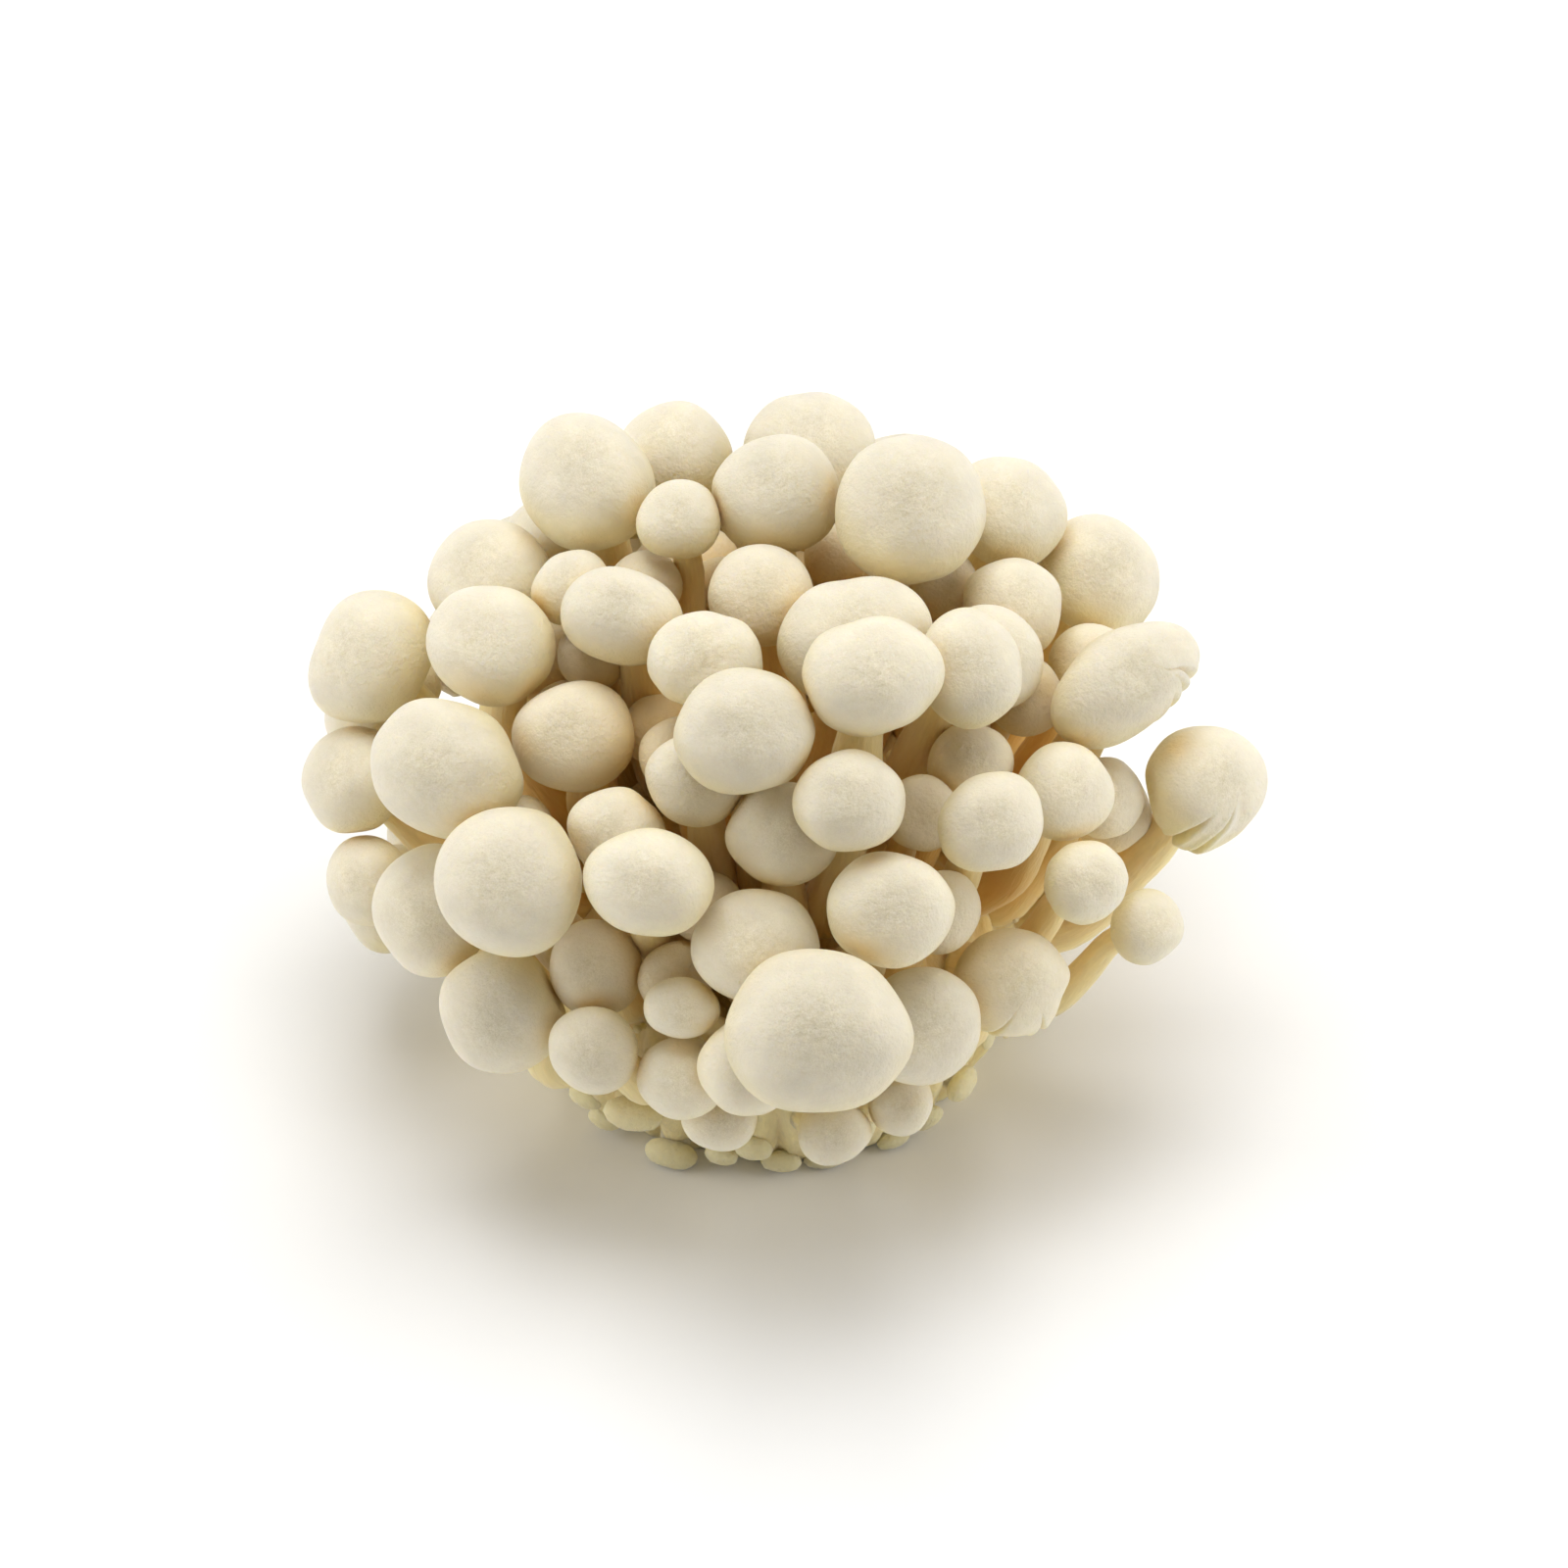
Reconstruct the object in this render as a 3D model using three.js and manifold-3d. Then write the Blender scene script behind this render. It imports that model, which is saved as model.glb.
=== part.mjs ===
// A cluster of white beech mushrooms, cut from its growing bottle and standing on the cut.
// Millimetres, +Z up, -Y to the front. The origin is the centre of the flat cut face under the foot.
// Every mushroom is one piece of flesh, a cap on its stem, so each of the larger ones is one mesh.
// The small ones that sprout between them are grown in one piece with the foot, and are joined to it.
import * as THREE from "three";
import { mergeVertices } from "three/addons/utils/BufferGeometryUtils.js";
import Module from "manifold-3d";

// The foot: an ellipsoid of fused stems, cut flat at z = 0.
const FOOT_RADIUS = 31;
const FOOT_HALF_HEIGHT = 28;
const FOOT_MIDDLE = 15.5;
const FOOT_SIDES = 28;
const FOOT_RINGS = 9;

// Stems spread from a point below the cut, as they did in the bottle.
const SPREAD_POINT = new THREE.Vector3(0, 0, -20);
// Caps look away from this point, and bend up towards the light.
const CROWN_CENTRE = new THREE.Vector3(0, 0, 24);
const CROWN_SHIFT = new THREE.Vector3(2, 0, 0); // the crown sits a little to the right of the foot
// All but the caps across the back turn their crowns a little to the front.
const FRONT_TURN = new THREE.Vector3(0, -0.35, 0);

const CAP_GAP = 0.35; // kept between two caps
const GAP = 0.45; // kept round a stem
const ROOT_CLEARANCE = 0.45; // between a stem's end and the foot
const ROOT_DEPTH = 1.6; // how far a sprout's stem runs into the foot

// Stem width at the cap and at the root, as a share of the cap's width.
const STEM_TOP_SHARE = 0.13;
const STEM_TOP_RANGE = [1.1, 1.9];
const STEM_ROOT_RATIO = 1.35;

// Half of a cap's section, as [out from the axis, up the axis] in cap radii, from the margin to the crown.
const CAP_SECTION = [
  [0.86, -0.36],
  [1.0, -0.02],
  [0.82, 0.52],
  [0.44, 0.78],
];
const CROWN_HEIGHT = 0.87;
const NECK_HEIGHT = -0.2; // where the stem meets the underside
// The ellipse round that section, for keeping caps apart: its middle and its half height.
const CAP_MIDDLE = 0.12;
const CAP_HALF_HEIGHT = 0.8;

const MUSHROOM_SIDES = 10;
const SPROUT_SIDES = 8;
const STEM_STATIONS = 3;

// [right, back, up, cap width, how far it leans out (0 upright to 1 straight out), width over depth]
const MUSHROOMS = {
  crown: [
    [-22.5, 16, 66, 16.4, 0.6, 1.16],
    [-13, 29, 60.5, 13.5],
    [3, 27, 62.3, 15],
    [-1, 11, 68.2, 13.5],
    [14, 6, 69.7, 17.5],
    [25.3, 16, 61.8, 13.3],
    [36.3, 16.5, 52.6, 14.5],
    [-31.7, 11, 54.6, 15],
    [-17.7, -6, 64.6, 12.3, 0.5, 1.3],
    [1.2, -5, 64.4, 11.3],
    [24.8, 1.5, 58.4, 11.5],
    [-33, -5, 58.2, 14.2, 0.6, 1.12],
  ],
  middle: [
    [-8.8, -15, 65.6, 11.8, 0.6, 1.1],
    [7.4, -10, 64.6, 15.4, 0.6, 1.08],
    [9.2, -25, 68, 14.2, 0.6, 1.1],
    [16.6, -15, 65.3, 12, 0.7, 0.88],
    [27.3, -8, 59, 12, 0.7, 0.9],
    [-1.8, -28, 65, 14, 0.8, 1.04],
    [-9, -26, 55.5, 10.5],
    [6.9, -32, 60.8, 11.6, 0.6, 1.05],
    [1, -30, 51, 11.5],
    [-17.3, -28, 53, 10.5],
    [-24, -13, 53, 13.5],
  ],
  left: [
    [-47.8, 7, 46, 15.2, 0.6, 0.94],
    [-49.3, 0, 37, 12.5],
    [-36.4, -18, 52.8, 16.4, 0.6, 1.12],
    [-28.7, -32, 49.2, 16.2, 0.6, 0.97],
    [-48, -8, 28, 10.5],
    [-37.6, -22, 36, 14, 0.8, 0.85],
    [-31.5, -33, 29.9, 14, 0.8],
  ],
  right: [
    [35, -8, 53.5, 14.5, 0.5, 1.75],
    [32.6, -17, 50.8, 11],
    [46.4, -8, 44, 14],
    [22.5, -31, 55.2, 11, 0.6, 1.12],
    [33.3, -27, 44, 9.2],
    [40.8, -22, 32.6, 8.5],
    [25, -32, 33.3, 11.5],
  ],
  front: [
    [-14.8, -38, 53, 12.4, 0.6, 1.18],
    [9.6, -39, 51.6, 13, 0.6, 1.05],
    [-3.8, -36, 44.8, 12.6, 0.6, 1.08],
    [4, -51, 44.3, 18.6, 0.4, 1.1],
    [15, -40, 34, 13],
    [-18.7, -40, 30.8, 10],
    [-11.8, -42, 31, 9.6],
    [-3, -44, 33.6, 11],
  ],
};

// The same, for the small ones that are joined to the foot.
const SPROUTS = [
  [-12, 7, 68, 9],
  [-24, 2, 61, 8.5],
  [-14, 6, 60, 8.5],
  [-9, 10, 56, 7],
  [35.8, 2, 50.5, 10],
  [26, -4, 52, 9],
  [36, -12, 43, 9.5],
  [-27, 9, 52, 10],
  [-29, -3, 47, 10],
  [-34, -17, 41, 9.5],
  [-22, -2, 54, 8],
  [-14, -11, 52, 8],
  [-11, -16, 53, 9],
  [20, -17, 53, 9],
  [17, 8, 57, 9],
  [7, 14, 57, 9],
  [15, -24, 51, 8],
  [40, -6, 34, 10],
  [-22, -31, 35, 10],
  [17.5, -30, 43, 9],
  [-10, -32, 43, 8],
  [-11, -35, 36, 8],
  [-5.5, -41, 37.4, 7, 0.6, 1.25],
  [-6.5, -39.5, 21.3, 7.5, 0.6, 1.2],
  [4, -38.5, 20, 7.5, 0.6, 1.1],
  [13, -37, 20.5, 7],
];

// Rows across the back: lean from upright, first and last direction round from straight back (degrees),
// how many, how far from the crown's centre, cap width, and whether they are joined to the foot.
const BACK_ROWS = [
  { lean: 36, from: -60, to: 60, count: 5, reach: 32, width: 10.5, joined: true },
  { lean: 52, from: -42, to: 42, count: 5, reach: 42, width: 14.5, joined: false },
  { lean: 73, from: -74, to: 50, count: 8, reach: 47, width: 14.5, joined: false },
  { lean: 96, from: -92, to: 48, count: 9, reach: 43, width: 11, joined: true },
];
const BACK_WIDTH_SPREAD = 0.16;
const BACK_REACH_SPREAD = 1.5;
const BACK_SEED = 7;

const SETTLE_ROUNDS = 500;
const PULL_TO_PLACE = 0.02; // share of the way back to its own place, each round
const PULL_TO_CURVE = 0.12;
const LAST_ROUNDS = 150; // rounds at the end that only push apart
const CAP_YIELD = 0.3; // a cap's share of the push between it and a stem

const OUTWARD = 0.6; // how far a cap leans out when its row doesn't say
const SAME_POINT = 1e-3;
const NO_LENGTH = 1e-6;

const CREAM = 0xe9dcc0;
const IVORY = 0xe3d2ab;
const ROUGHNESS = 0.6;

const UP = new THREE.Vector3(0, 0, 1);
const radians = THREE.MathUtils.degToRad;

function seededRandom(seed) {
  let state = seed;
  return () => {
    state = (state * 1664525 + 1013904223) % 4294967296;
    return state / 4294967296;
  };
}

// A mushroom with its cap centred at a place.
function mushroomAt(place, width, outward = OUTWARD, oval = 1, joined = false) {
  const away = place.clone().sub(CROWN_CENTRE).normalize();
  const axis = UP.clone().lerp(away, outward).normalize();
  const topRadius = THREE.MathUtils.clamp(width * STEM_TOP_SHARE, ...STEM_TOP_RANGE);
  return {
    own: place.clone(),
    place: place.clone(),
    axis,
    radius: width / 2,
    oval,
    joined,
    topRadius,
    rootRadius: topRadius * STEM_ROOT_RATIO,
    stations: [], // points the stem runs through, from the root to the neck
  };
}

function rowToMushroom([right, back, up, width, outward, oval], joined) {
  const place = new THREE.Vector3(right, back, up).add(CROWN_SHIFT);
  const mushroom = mushroomAt(place, width, outward, oval, joined);
  mushroom.axis.add(FRONT_TURN).normalize();
  return mushroom;
}

function backRows() {
  const random = seededRandom(BACK_SEED);
  const around = (spread) => (random() * 2 - 1) * spread;
  return BACK_ROWS.flatMap(({ lean, from, to, count, reach, width, joined }) =>
    Array.from({ length: count }, (_, i) => {
      const turn = radians(from + ((to - from) * i) / (count - 1));
      const tilt = radians(lean);
      const direction = new THREE.Vector3(
        Math.sin(tilt) * Math.sin(turn),
        Math.sin(tilt) * Math.cos(turn),
        Math.cos(tilt),
      );
      const place = CROWN_CENTRE.clone().add(CROWN_SHIFT);
      place.addScaledVector(direction, reach + around(BACK_REACH_SPREAD));
      return mushroomAt(place, width * (1 + around(BACK_WIDTH_SPREAD)), OUTWARD, 1, joined);
    }),
  );
}

const FOOT_CENTRE = new THREE.Vector3(0, 0, FOOT_MIDDLE);
const FOOT_SQUASH = new THREE.Vector3(1 / FOOT_RADIUS, 1 / FOOT_RADIUS, 1 / FOOT_HALF_HEIGHT);

const footNormal = (point) =>
  point.clone().sub(FOOT_CENTRE).multiply(FOOT_SQUASH).multiply(FOOT_SQUASH).normalize();

// How far a point is above the foot's skin, near enough when it is close to it.
function heightOverFoot(point) {
  const squashed = point.clone().sub(FOOT_CENTRE).multiply(FOOT_SQUASH);
  const size = squashed.length();
  return ((size - 1) * size) / squashed.multiply(FOOT_SQUASH).length();
}

// The point `lift` above the foot's skin on the line from the spread point to a place.
function rootUnder(place, lift) {
  const along = place.clone().sub(SPREAD_POINT).normalize();
  const start = SPREAD_POINT.clone().sub(FOOT_CENTRE).multiply(FOOT_SQUASH);
  const step = along.clone().multiply(FOOT_SQUASH);
  const a = step.lengthSq();
  const b = start.dot(step);
  const c = start.lengthSq() - 1;
  const point = SPREAD_POINT.clone().addScaledVector(along, (-b + Math.sqrt(b * b - a * c)) / a);
  const normal = footNormal(point);
  return { point: point.addScaledVector(normal, lift), normal };
}

// The easy curve of a stem: out of the foot, then up into the cap along the cap's axis.
function stemCurve(mushroom) {
  const lift = mushroom.joined ? -ROOT_DEPTH : ROOT_CLEARANCE;
  const { point, normal } = rootUnder(mushroom.rootAim ?? mushroom.place, lift);
  const neck = mushroom.place.clone().addScaledVector(mushroom.axis, mushroom.radius * NECK_HEIGHT);
  const handle = point.distanceTo(neck) / 3;
  return {
    root: point,
    rootNormal: normal,
    neck,
    curve: new THREE.CubicBezierCurve3(
      point,
      point.clone().addScaledVector(normal, handle),
      neck.clone().addScaledVector(mushroom.axis, -handle),
      neck,
    ),
  };
}

const stationShare = (k) => (k + 1) / (STEM_STATIONS + 1);
const stemRadius = (m, share) => THREE.MathUtils.lerp(m.rootRadius, m.topRadius, share);
const stemLine = (m) => {
  const { root, neck } = stemCurve(m);
  return [root, ...m.stations, neck];
};

const capMiddle = (m) => m.place.clone().addScaledVector(m.axis, m.radius * CAP_MIDDLE);
const capWidest = (m) => m.radius * Math.sqrt(Math.max(m.oval, 1 / m.oval));

// How far a cap reaches from its middle in a direction.
function capReach(m, direction) {
  const along = direction.dot(m.axis);
  const across = Math.max(0, 1 - along * along);
  const tall = m.radius * CAP_HALF_HEIGHT;
  return Math.sqrt(capWidest(m) ** 2 * across + tall * tall * along * along);
}

// The places along a stem where it is kept clear of its neighbours: at each station, and half way
// between. Each knows the stations that move when it is pushed.
function stemSamples(m) {
  const line = stemLine(m);
  const spans = line.length - 1;
  return Array.from({ length: 2 * spans - 1 }, (_, i) => {
    const place = (i + 1) / 2;
    const below = Math.floor(place);
    const above = Math.ceil(place);
    return {
      at: line[below].clone().lerp(line[above], 0.5),
      radius: stemRadius(m, place / spans),
      stations: [...new Set([below, above])].map((k) => m.stations[k - 1]).filter(Boolean),
    };
  });
}

function moveSample(sample, way, length) {
  sample.at.addScaledVector(way, length);
  for (const station of sample.stations) station.addScaledVector(way, length);
}

// Calls `move` with the way and the length by which two points are closer than `need`.
function pushApart(from, to, need, move) {
  const distance = from.distanceTo(to);
  if (distance >= need || distance < NO_LENGTH) return;
  move(to.clone().sub(from).divideScalar(distance), need - distance);
}

function pressCaps(a, b) {
  const from = capMiddle(a);
  const to = capMiddle(b);
  const direction = to.clone().sub(from).normalize();
  const need = capReach(a, direction) + capReach(b, direction) + CAP_GAP;
  const shareA = b.radius ** 2 / (a.radius ** 2 + b.radius ** 2);
  pushApart(from, to, need, (way, short) => {
    a.place.addScaledVector(way, -short * shareA);
    b.place.addScaledVector(way, short * (1 - shareA));
  });
}

function pressCapOnStem(cap, samples) {
  const from = capMiddle(cap);
  const furthest = capWidest(cap) + STEM_TOP_RANGE[1] * STEM_ROOT_RATIO + GAP;
  for (const sample of samples) {
    if (from.distanceTo(sample.at) > furthest) continue;
    const direction = sample.at.clone().sub(from).normalize();
    pushApart(from, sample.at, capReach(cap, direction) + sample.radius + GAP, (way, short) => {
      cap.place.addScaledVector(way, -short * CAP_YIELD);
      moveSample(sample, way, short * (1 - CAP_YIELD));
    });
  }
}

function pressStems(a, b, samplesA, samplesB) {
  pushApart(a.root, b.root, a.rootRadius + b.rootRadius + GAP, (way, short) => {
    a.rootAim.addScaledVector(way, -short);
    b.rootAim.addScaledVector(way, short);
  });
  for (const sampleA of samplesA)
    for (const sampleB of samplesB)
      pushApart(sampleA.at, sampleB.at, sampleA.radius + sampleB.radius + GAP, (way, short) => {
        moveSample(sampleA, way, -short / 2);
        moveSample(sampleB, way, short / 2);
      });
}

function pressStemOffFoot(samples) {
  for (const sample of samples) {
    const short = sample.radius + ROOT_CLEARANCE - heightOverFoot(sample.at);
    if (short > 0) moveSample(sample, footNormal(sample.at), short);
  }
}

// Lets the caps and stems press each other aside, as they do while they grow, until none overlap.
function settle(all) {
  for (const m of all) {
    const { curve } = stemCurve(m);
    m.rootAim = m.place.clone();
    m.stations = Array.from({ length: STEM_STATIONS }, (_, k) => curve.getPoint(stationShare(k)));
  }
  for (let round = 0; round < SETTLE_ROUNDS; round++) {
    const drawnBack = round < SETTLE_ROUNDS - LAST_ROUNDS;
    for (const m of all) {
      if (drawnBack) m.place.lerp(m.own, PULL_TO_PLACE);
      const { root, curve } = stemCurve(m);
      m.root = root;
      m.stations.forEach((station, k) => {
        if (drawnBack) station.lerp(curve.getPoint(stationShare(k)), PULL_TO_CURVE);
      });
    }
    const samples = all.map(stemSamples);
    all.forEach((a, i) =>
      all.forEach((b, j) => {
        if (i < j) pressCaps(a, b);
        if (i !== j) pressCapOnStem(a, samples[j]);
        if (i < j) pressStems(a, b, samples[i], samples[j]);
      }),
    );
    all.forEach((m, i) => {
      if (!m.joined) pressStemOffFoot(samples[i]);
    });
  }
}

// A closed skin through rings of the same number of points, with a point at each end.
function skin(start, rings, end) {
  const sides = rings[0].length;
  const points = [start, ...rings.flat(), end];
  const index = [];
  const at = (ring, side) => 1 + ring * sides + (side % sides);
  for (let side = 0; side < sides; side++) {
    index.push(0, at(0, side + 1), at(0, side));
    for (let ring = 0; ring + 1 < rings.length; ring++) {
      index.push(at(ring, side), at(ring, side + 1), at(ring + 1, side));
      index.push(at(ring, side + 1), at(ring + 1, side + 1), at(ring + 1, side));
    }
    index.push(points.length - 1, at(rings.length - 1, side), at(rings.length - 1, side + 1));
  }
  return new THREE.BufferGeometry().setFromPoints(points).setIndex(index);
}

// A ring of points round a centre, square to an axis. The first point is the one furthest along `side`.
function ringOf(centre, axis, side, sides, radius, oval = 1) {
  const first = side.clone().addScaledVector(axis, -side.dot(axis)).normalize();
  const second = axis.clone().cross(first);
  return Array.from({ length: sides }, (_, k) => {
    const turn = (2 * Math.PI * k) / sides;
    return centre
      .clone()
      .addScaledVector(first, radius * oval * Math.cos(turn))
      .addScaledVector(second, (radius / oval) * Math.sin(turn));
  });
}

function mushroomGeometry(m) {
  const sides = m.joined ? SPROUT_SIDES : MUSHROOM_SIDES;
  const { rootNormal } = stemCurve(m);
  const line = stemLine(m);
  const between = (k) => line[k + 1].clone().sub(line[k - 1]).normalize();
  const tangents = [rootNormal, ...m.stations.map((_, k) => between(k + 1)), m.axis];
  const level = UP.clone().cross(m.axis);
  const across = level.length() > NO_LENGTH ? level.normalize() : new THREE.Vector3(1, 0, 0);
  const rings = line.map((point, k) =>
    ringOf(point, tangents[k], across, sides, stemRadius(m, k / (line.length - 1))),
  );
  for (const [out, up] of CAP_SECTION) {
    const centre = m.place.clone().addScaledVector(m.axis, up * m.radius);
    rings.push(ringOf(centre, m.axis, across, sides, out * m.radius, Math.sqrt(m.oval)));
  }
  const crown = m.place.clone().addScaledVector(m.axis, CROWN_HEIGHT * m.radius);
  return skin(line[0], rings, crown);
}

function footGeometry() {
  const cutHeight = -FOOT_MIDDLE / FOOT_HALF_HEIGHT;
  const lowest = Math.asin(cutHeight);
  const profile = [new THREE.Vector2(0, 0)];
  for (let k = 0; k <= FOOT_RINGS; k++) {
    const angle = THREE.MathUtils.lerp(lowest, Math.PI / 2, k / FOOT_RINGS);
    const out = k === FOOT_RINGS ? 0 : FOOT_RADIUS * Math.cos(angle);
    profile.push(new THREE.Vector2(out, FOOT_MIDDLE + FOOT_HALF_HEIGHT * Math.sin(angle)));
  }
  return new THREE.LatheGeometry(profile, FOOT_SIDES).rotateX(Math.PI / 2);
}

const wasm = await Module();
wasm.setup();

function toSolid(geometry) {
  const bare = geometry.clone();
  bare.deleteAttribute("normal");
  bare.deleteAttribute("uv");
  const merged = mergeVertices(bare, SAME_POINT);
  return new wasm.Manifold(
    new wasm.Mesh({
      numProp: 3,
      vertProperties: merged.attributes.position.array,
      triVerts: new Uint32Array(merged.index.array),
    }),
  );
}

function toGeometry(solid) {
  const { vertProperties, triVerts } = solid.getMesh();
  return new THREE.BufferGeometry()
    .setAttribute("position", new THREE.BufferAttribute(vertProperties, 3))
    .setIndex(new THREE.BufferAttribute(triVerts, 1));
}

function namedMesh(name, geometry, color) {
  geometry.computeVertexNormals();
  const material = new THREE.MeshStandardMaterial({ color, roughness: ROUGHNESS, metalness: 0 });
  const mesh = new THREE.Mesh(geometry, material);
  mesh.name = name;
  return mesh;
}

// A mushroom's mesh is drawn about its root and placed there.
function mushroomMesh(name, mushroom) {
  const { root } = stemCurve(mushroom);
  const geometry = mushroomGeometry(mushroom).translate(-root.x, -root.y, -root.z);
  const mesh = namedMesh(name, geometry, CREAM);
  mesh.position.copy(root);
  return mesh;
}

function footMesh(sprouts) {
  const joined = sprouts.reduce(
    (solid, sprout) => solid.add(toSolid(mushroomGeometry(sprout))),
    toSolid(footGeometry()),
  );
  return namedMesh("foot", toGeometry(joined), IVORY);
}

const back = backRows();
const regions = { back: back.filter((m) => !m.joined) };
for (const [region, rows] of Object.entries(MUSHROOMS))
  regions[region] = rows.map((row) => rowToMushroom(row, false));
const sprouts = [...SPROUTS.map((row) => rowToMushroom(row, true)), ...back.filter((m) => m.joined)];
settle([...Object.values(regions).flat(), ...sprouts]);

const cluster = new THREE.Group();
cluster.add(footMesh(sprouts));
for (const [region, mushrooms] of Object.entries(regions)) {
  const group = new THREE.Group();
  mushrooms.forEach((m, i) => group.add(mushroomMesh(`${region}_mushroom_${i + 1}`, m)));
  cluster.add(group);
}

export default cluster;
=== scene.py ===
"""A cluster of white beech mushrooms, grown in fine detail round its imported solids."""

import math
from dataclasses import dataclass

import bmesh
import bpy
import numpy as np
from bpy.props import FloatProperty, FloatVectorProperty, IntProperty, PointerProperty
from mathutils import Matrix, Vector


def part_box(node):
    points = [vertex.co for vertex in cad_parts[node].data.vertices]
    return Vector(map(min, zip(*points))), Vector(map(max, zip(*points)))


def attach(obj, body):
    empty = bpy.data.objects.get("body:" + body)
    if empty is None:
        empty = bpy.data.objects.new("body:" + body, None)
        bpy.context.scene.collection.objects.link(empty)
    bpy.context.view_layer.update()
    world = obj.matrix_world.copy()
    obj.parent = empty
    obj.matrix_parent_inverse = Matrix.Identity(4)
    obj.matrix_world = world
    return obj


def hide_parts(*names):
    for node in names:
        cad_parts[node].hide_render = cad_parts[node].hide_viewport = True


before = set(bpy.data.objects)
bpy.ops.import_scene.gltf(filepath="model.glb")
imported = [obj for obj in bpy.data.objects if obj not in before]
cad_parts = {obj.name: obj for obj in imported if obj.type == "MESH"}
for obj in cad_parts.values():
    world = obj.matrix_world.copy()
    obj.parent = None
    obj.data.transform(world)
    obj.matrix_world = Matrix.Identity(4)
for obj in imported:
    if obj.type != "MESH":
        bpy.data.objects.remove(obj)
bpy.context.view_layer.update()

bl_info = {
    "name": "Beech Mushroom Cluster",
    "version": (1, 0, 0),
    "blender": (4, 5, 0),
    "location": "3D View > Sidebar > Beech Mushrooms",
    "description": "Grows fine mushrooms, gills, a fused foot and buds round the cluster's solids",
    "category": "Add Mesh",
}

MM = 0.001
UP = np.array([0.0, 0.0, 1.0])
LOWEST = 0.6 * MM  # how low a stem's hidden end or a bud may go
FOOT = "foot"
FLESH_SLOT = "flesh"
FOOT_SLOT = "foot_flesh"

# Where the random draws start: the mushrooms with solids of their own, the sprouts, and the tones.
FIRST_SEED = 11
SEED_STEP = 7
SPROUT_SEED = 500
TONE_SEED = 2

# The mottled patch on a cap lies round its crown, leaning towards the front: its watery flecks are the cap's
# own, and its darkening on the side facing the front is painted shade.
TO_VIEWER = np.array([0.0, -0.77, 0.64])
PATCH_SHADE_LEAN = 1.1
PATCH_SHADE_SPREAD = 0.26

# How the solids are drawn: rings of a mushroom from its root up, and what share of its rings is cap.
MERGE_DISTANCE = 2e-6
STEM_RINGS = 5
WIDEST_UP = -0.02  # the widest ring's height over the cap's centre, in cap radii
SPROUT_SIDES = 8
SPROUT_CAP_RINGS = 4
CAP_MIDDLE = 0.12
CAP_HALF_HEIGHT = 0.8

# The cluster's crown as an ellipsoid, which says how deep between the mushrooms a point lies: there the flesh
# takes the stems' own amber together with painted warm shade.
CROWN_CENTRE = np.array([2.0, 0.0, 24.0]) * MM
CROWN_HALF_SIZE = np.array([54.0, 52.0, 52.0]) * MM
DEEP_FROM, DEEP_AT = 0.92, 0.5  # where the flesh starts to be deep, and is, in the ellipsoid's radii
DEEP_LOW, DEEP_HIGH = 14 * MM, 34 * MM  # and the heights between which that sets in


# ---- settings


def colour(name, description, *rgb):
    return FloatVectorProperty(
        name=name, description=description, subtype="COLOR", size=4, min=0, max=1, default=(*rgb, 1)
    )


def length(name, description, default, low=0.0):
    return FloatProperty(
        name=name, description=description, subtype="DISTANCE", unit="LENGTH", default=default, min=low
    )


def factor(name, description, default, low, high):
    return FloatProperty(
        name=name, description=description, subtype="FACTOR", default=default, min=low, max=high
    )


def power(name, description, default):
    return FloatProperty(name=name, description=description, subtype="POWER", default=default)


class FleshSettings(bpy.types.PropertyGroup):
    cream: colour("Cap skin", "Colour of a cap's skin out in the light", 0.85, 0.785, 0.635)
    # painted shade: the margin colour is a warmer, darker tone laid low on a cap's side, under it and on its
    # gills
    margin: colour("Cap margin", "Colour of a cap low down its side", 0.84, 0.735, 0.44)
    # painted shade: the crevice colour darkens and warms the flesh where caps press together
    crevice: colour("Crevice", "Colour of the flesh where two caps press together", 0.79, 0.575, 0.24)
    # the crown colour is partly the cap's own watery mottling and partly painted shade facing the front
    crown: colour("Cap crown", "Colour of the mottled patch on top of a cap", 0.64, 0.57, 0.4)
    stem: colour("Stem", "Colour of a stem out in the light", 0.865, 0.725, 0.38)
    # the deep colour is partly the stems' own amber and partly painted warm shade between the mushrooms
    deep: colour("Deep flesh", "Colour of the flesh deep between the mushrooms", 0.85, 0.57, 0.19)
    bruise: colour("Bruise", "Colour of knocked and torn places", 0.76, 0.64, 0.33)
    translucence: factor("Translucence", "Share of light that passes under the skin", 0.6, 0, 1)


class MushroomSettings(bpy.types.PropertyGroup):
    sides: IntProperty(name="Sides", description="Points round a mushroom", default=96, min=24)
    sprout_sides: IntProperty(name="Sprout sides", description="Points round a sprout", default=44, min=16)
    swell: factor(
        "Swell", "How much wider than its solid a cap grows before its neighbours stop it", 0.05, 0, 0.15
    )
    lump_height: factor("Lump height", "Height of the soft lumps on a cap, in cap radii", 0.055, 0, 0.15)
    lump_size: FloatProperty(
        name="Lump size", description="Size of the soft lumps, in cap radii", default=0.7, min=0.2,
    )
    press: length("Press", "How softly two pressed caps flatten", 0.22 * MM)
    root_depth: length("Root depth", "How far a stem runs on into the foot", 2.6 * MM)


class GillSettings(bpy.types.PropertyGroup):
    count: IntProperty(name="Gills", description="Long gills under a cap", default=40, min=3)
    sprout_count: IntProperty(name="Sprout gills", description="Long gills under a sprout", default=18, min=3)
    inner: FloatProperty(name="Inner radius", description="In cap radii", default=0.3, min=0.05)
    outer: FloatProperty(name="Outer radius", description="In cap radii", default=0.79, min=0.1)
    depth: FloatProperty(name="Blade depth", description="In cap radii", default=0.13, min=0.01)
    thickness: FloatProperty(name="Blade thickness", description="In cap radii", default=0.022, min=0.001)
    seed: IntProperty(name="Seed", description="Start of the random turns", default=5, min=0)


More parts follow.
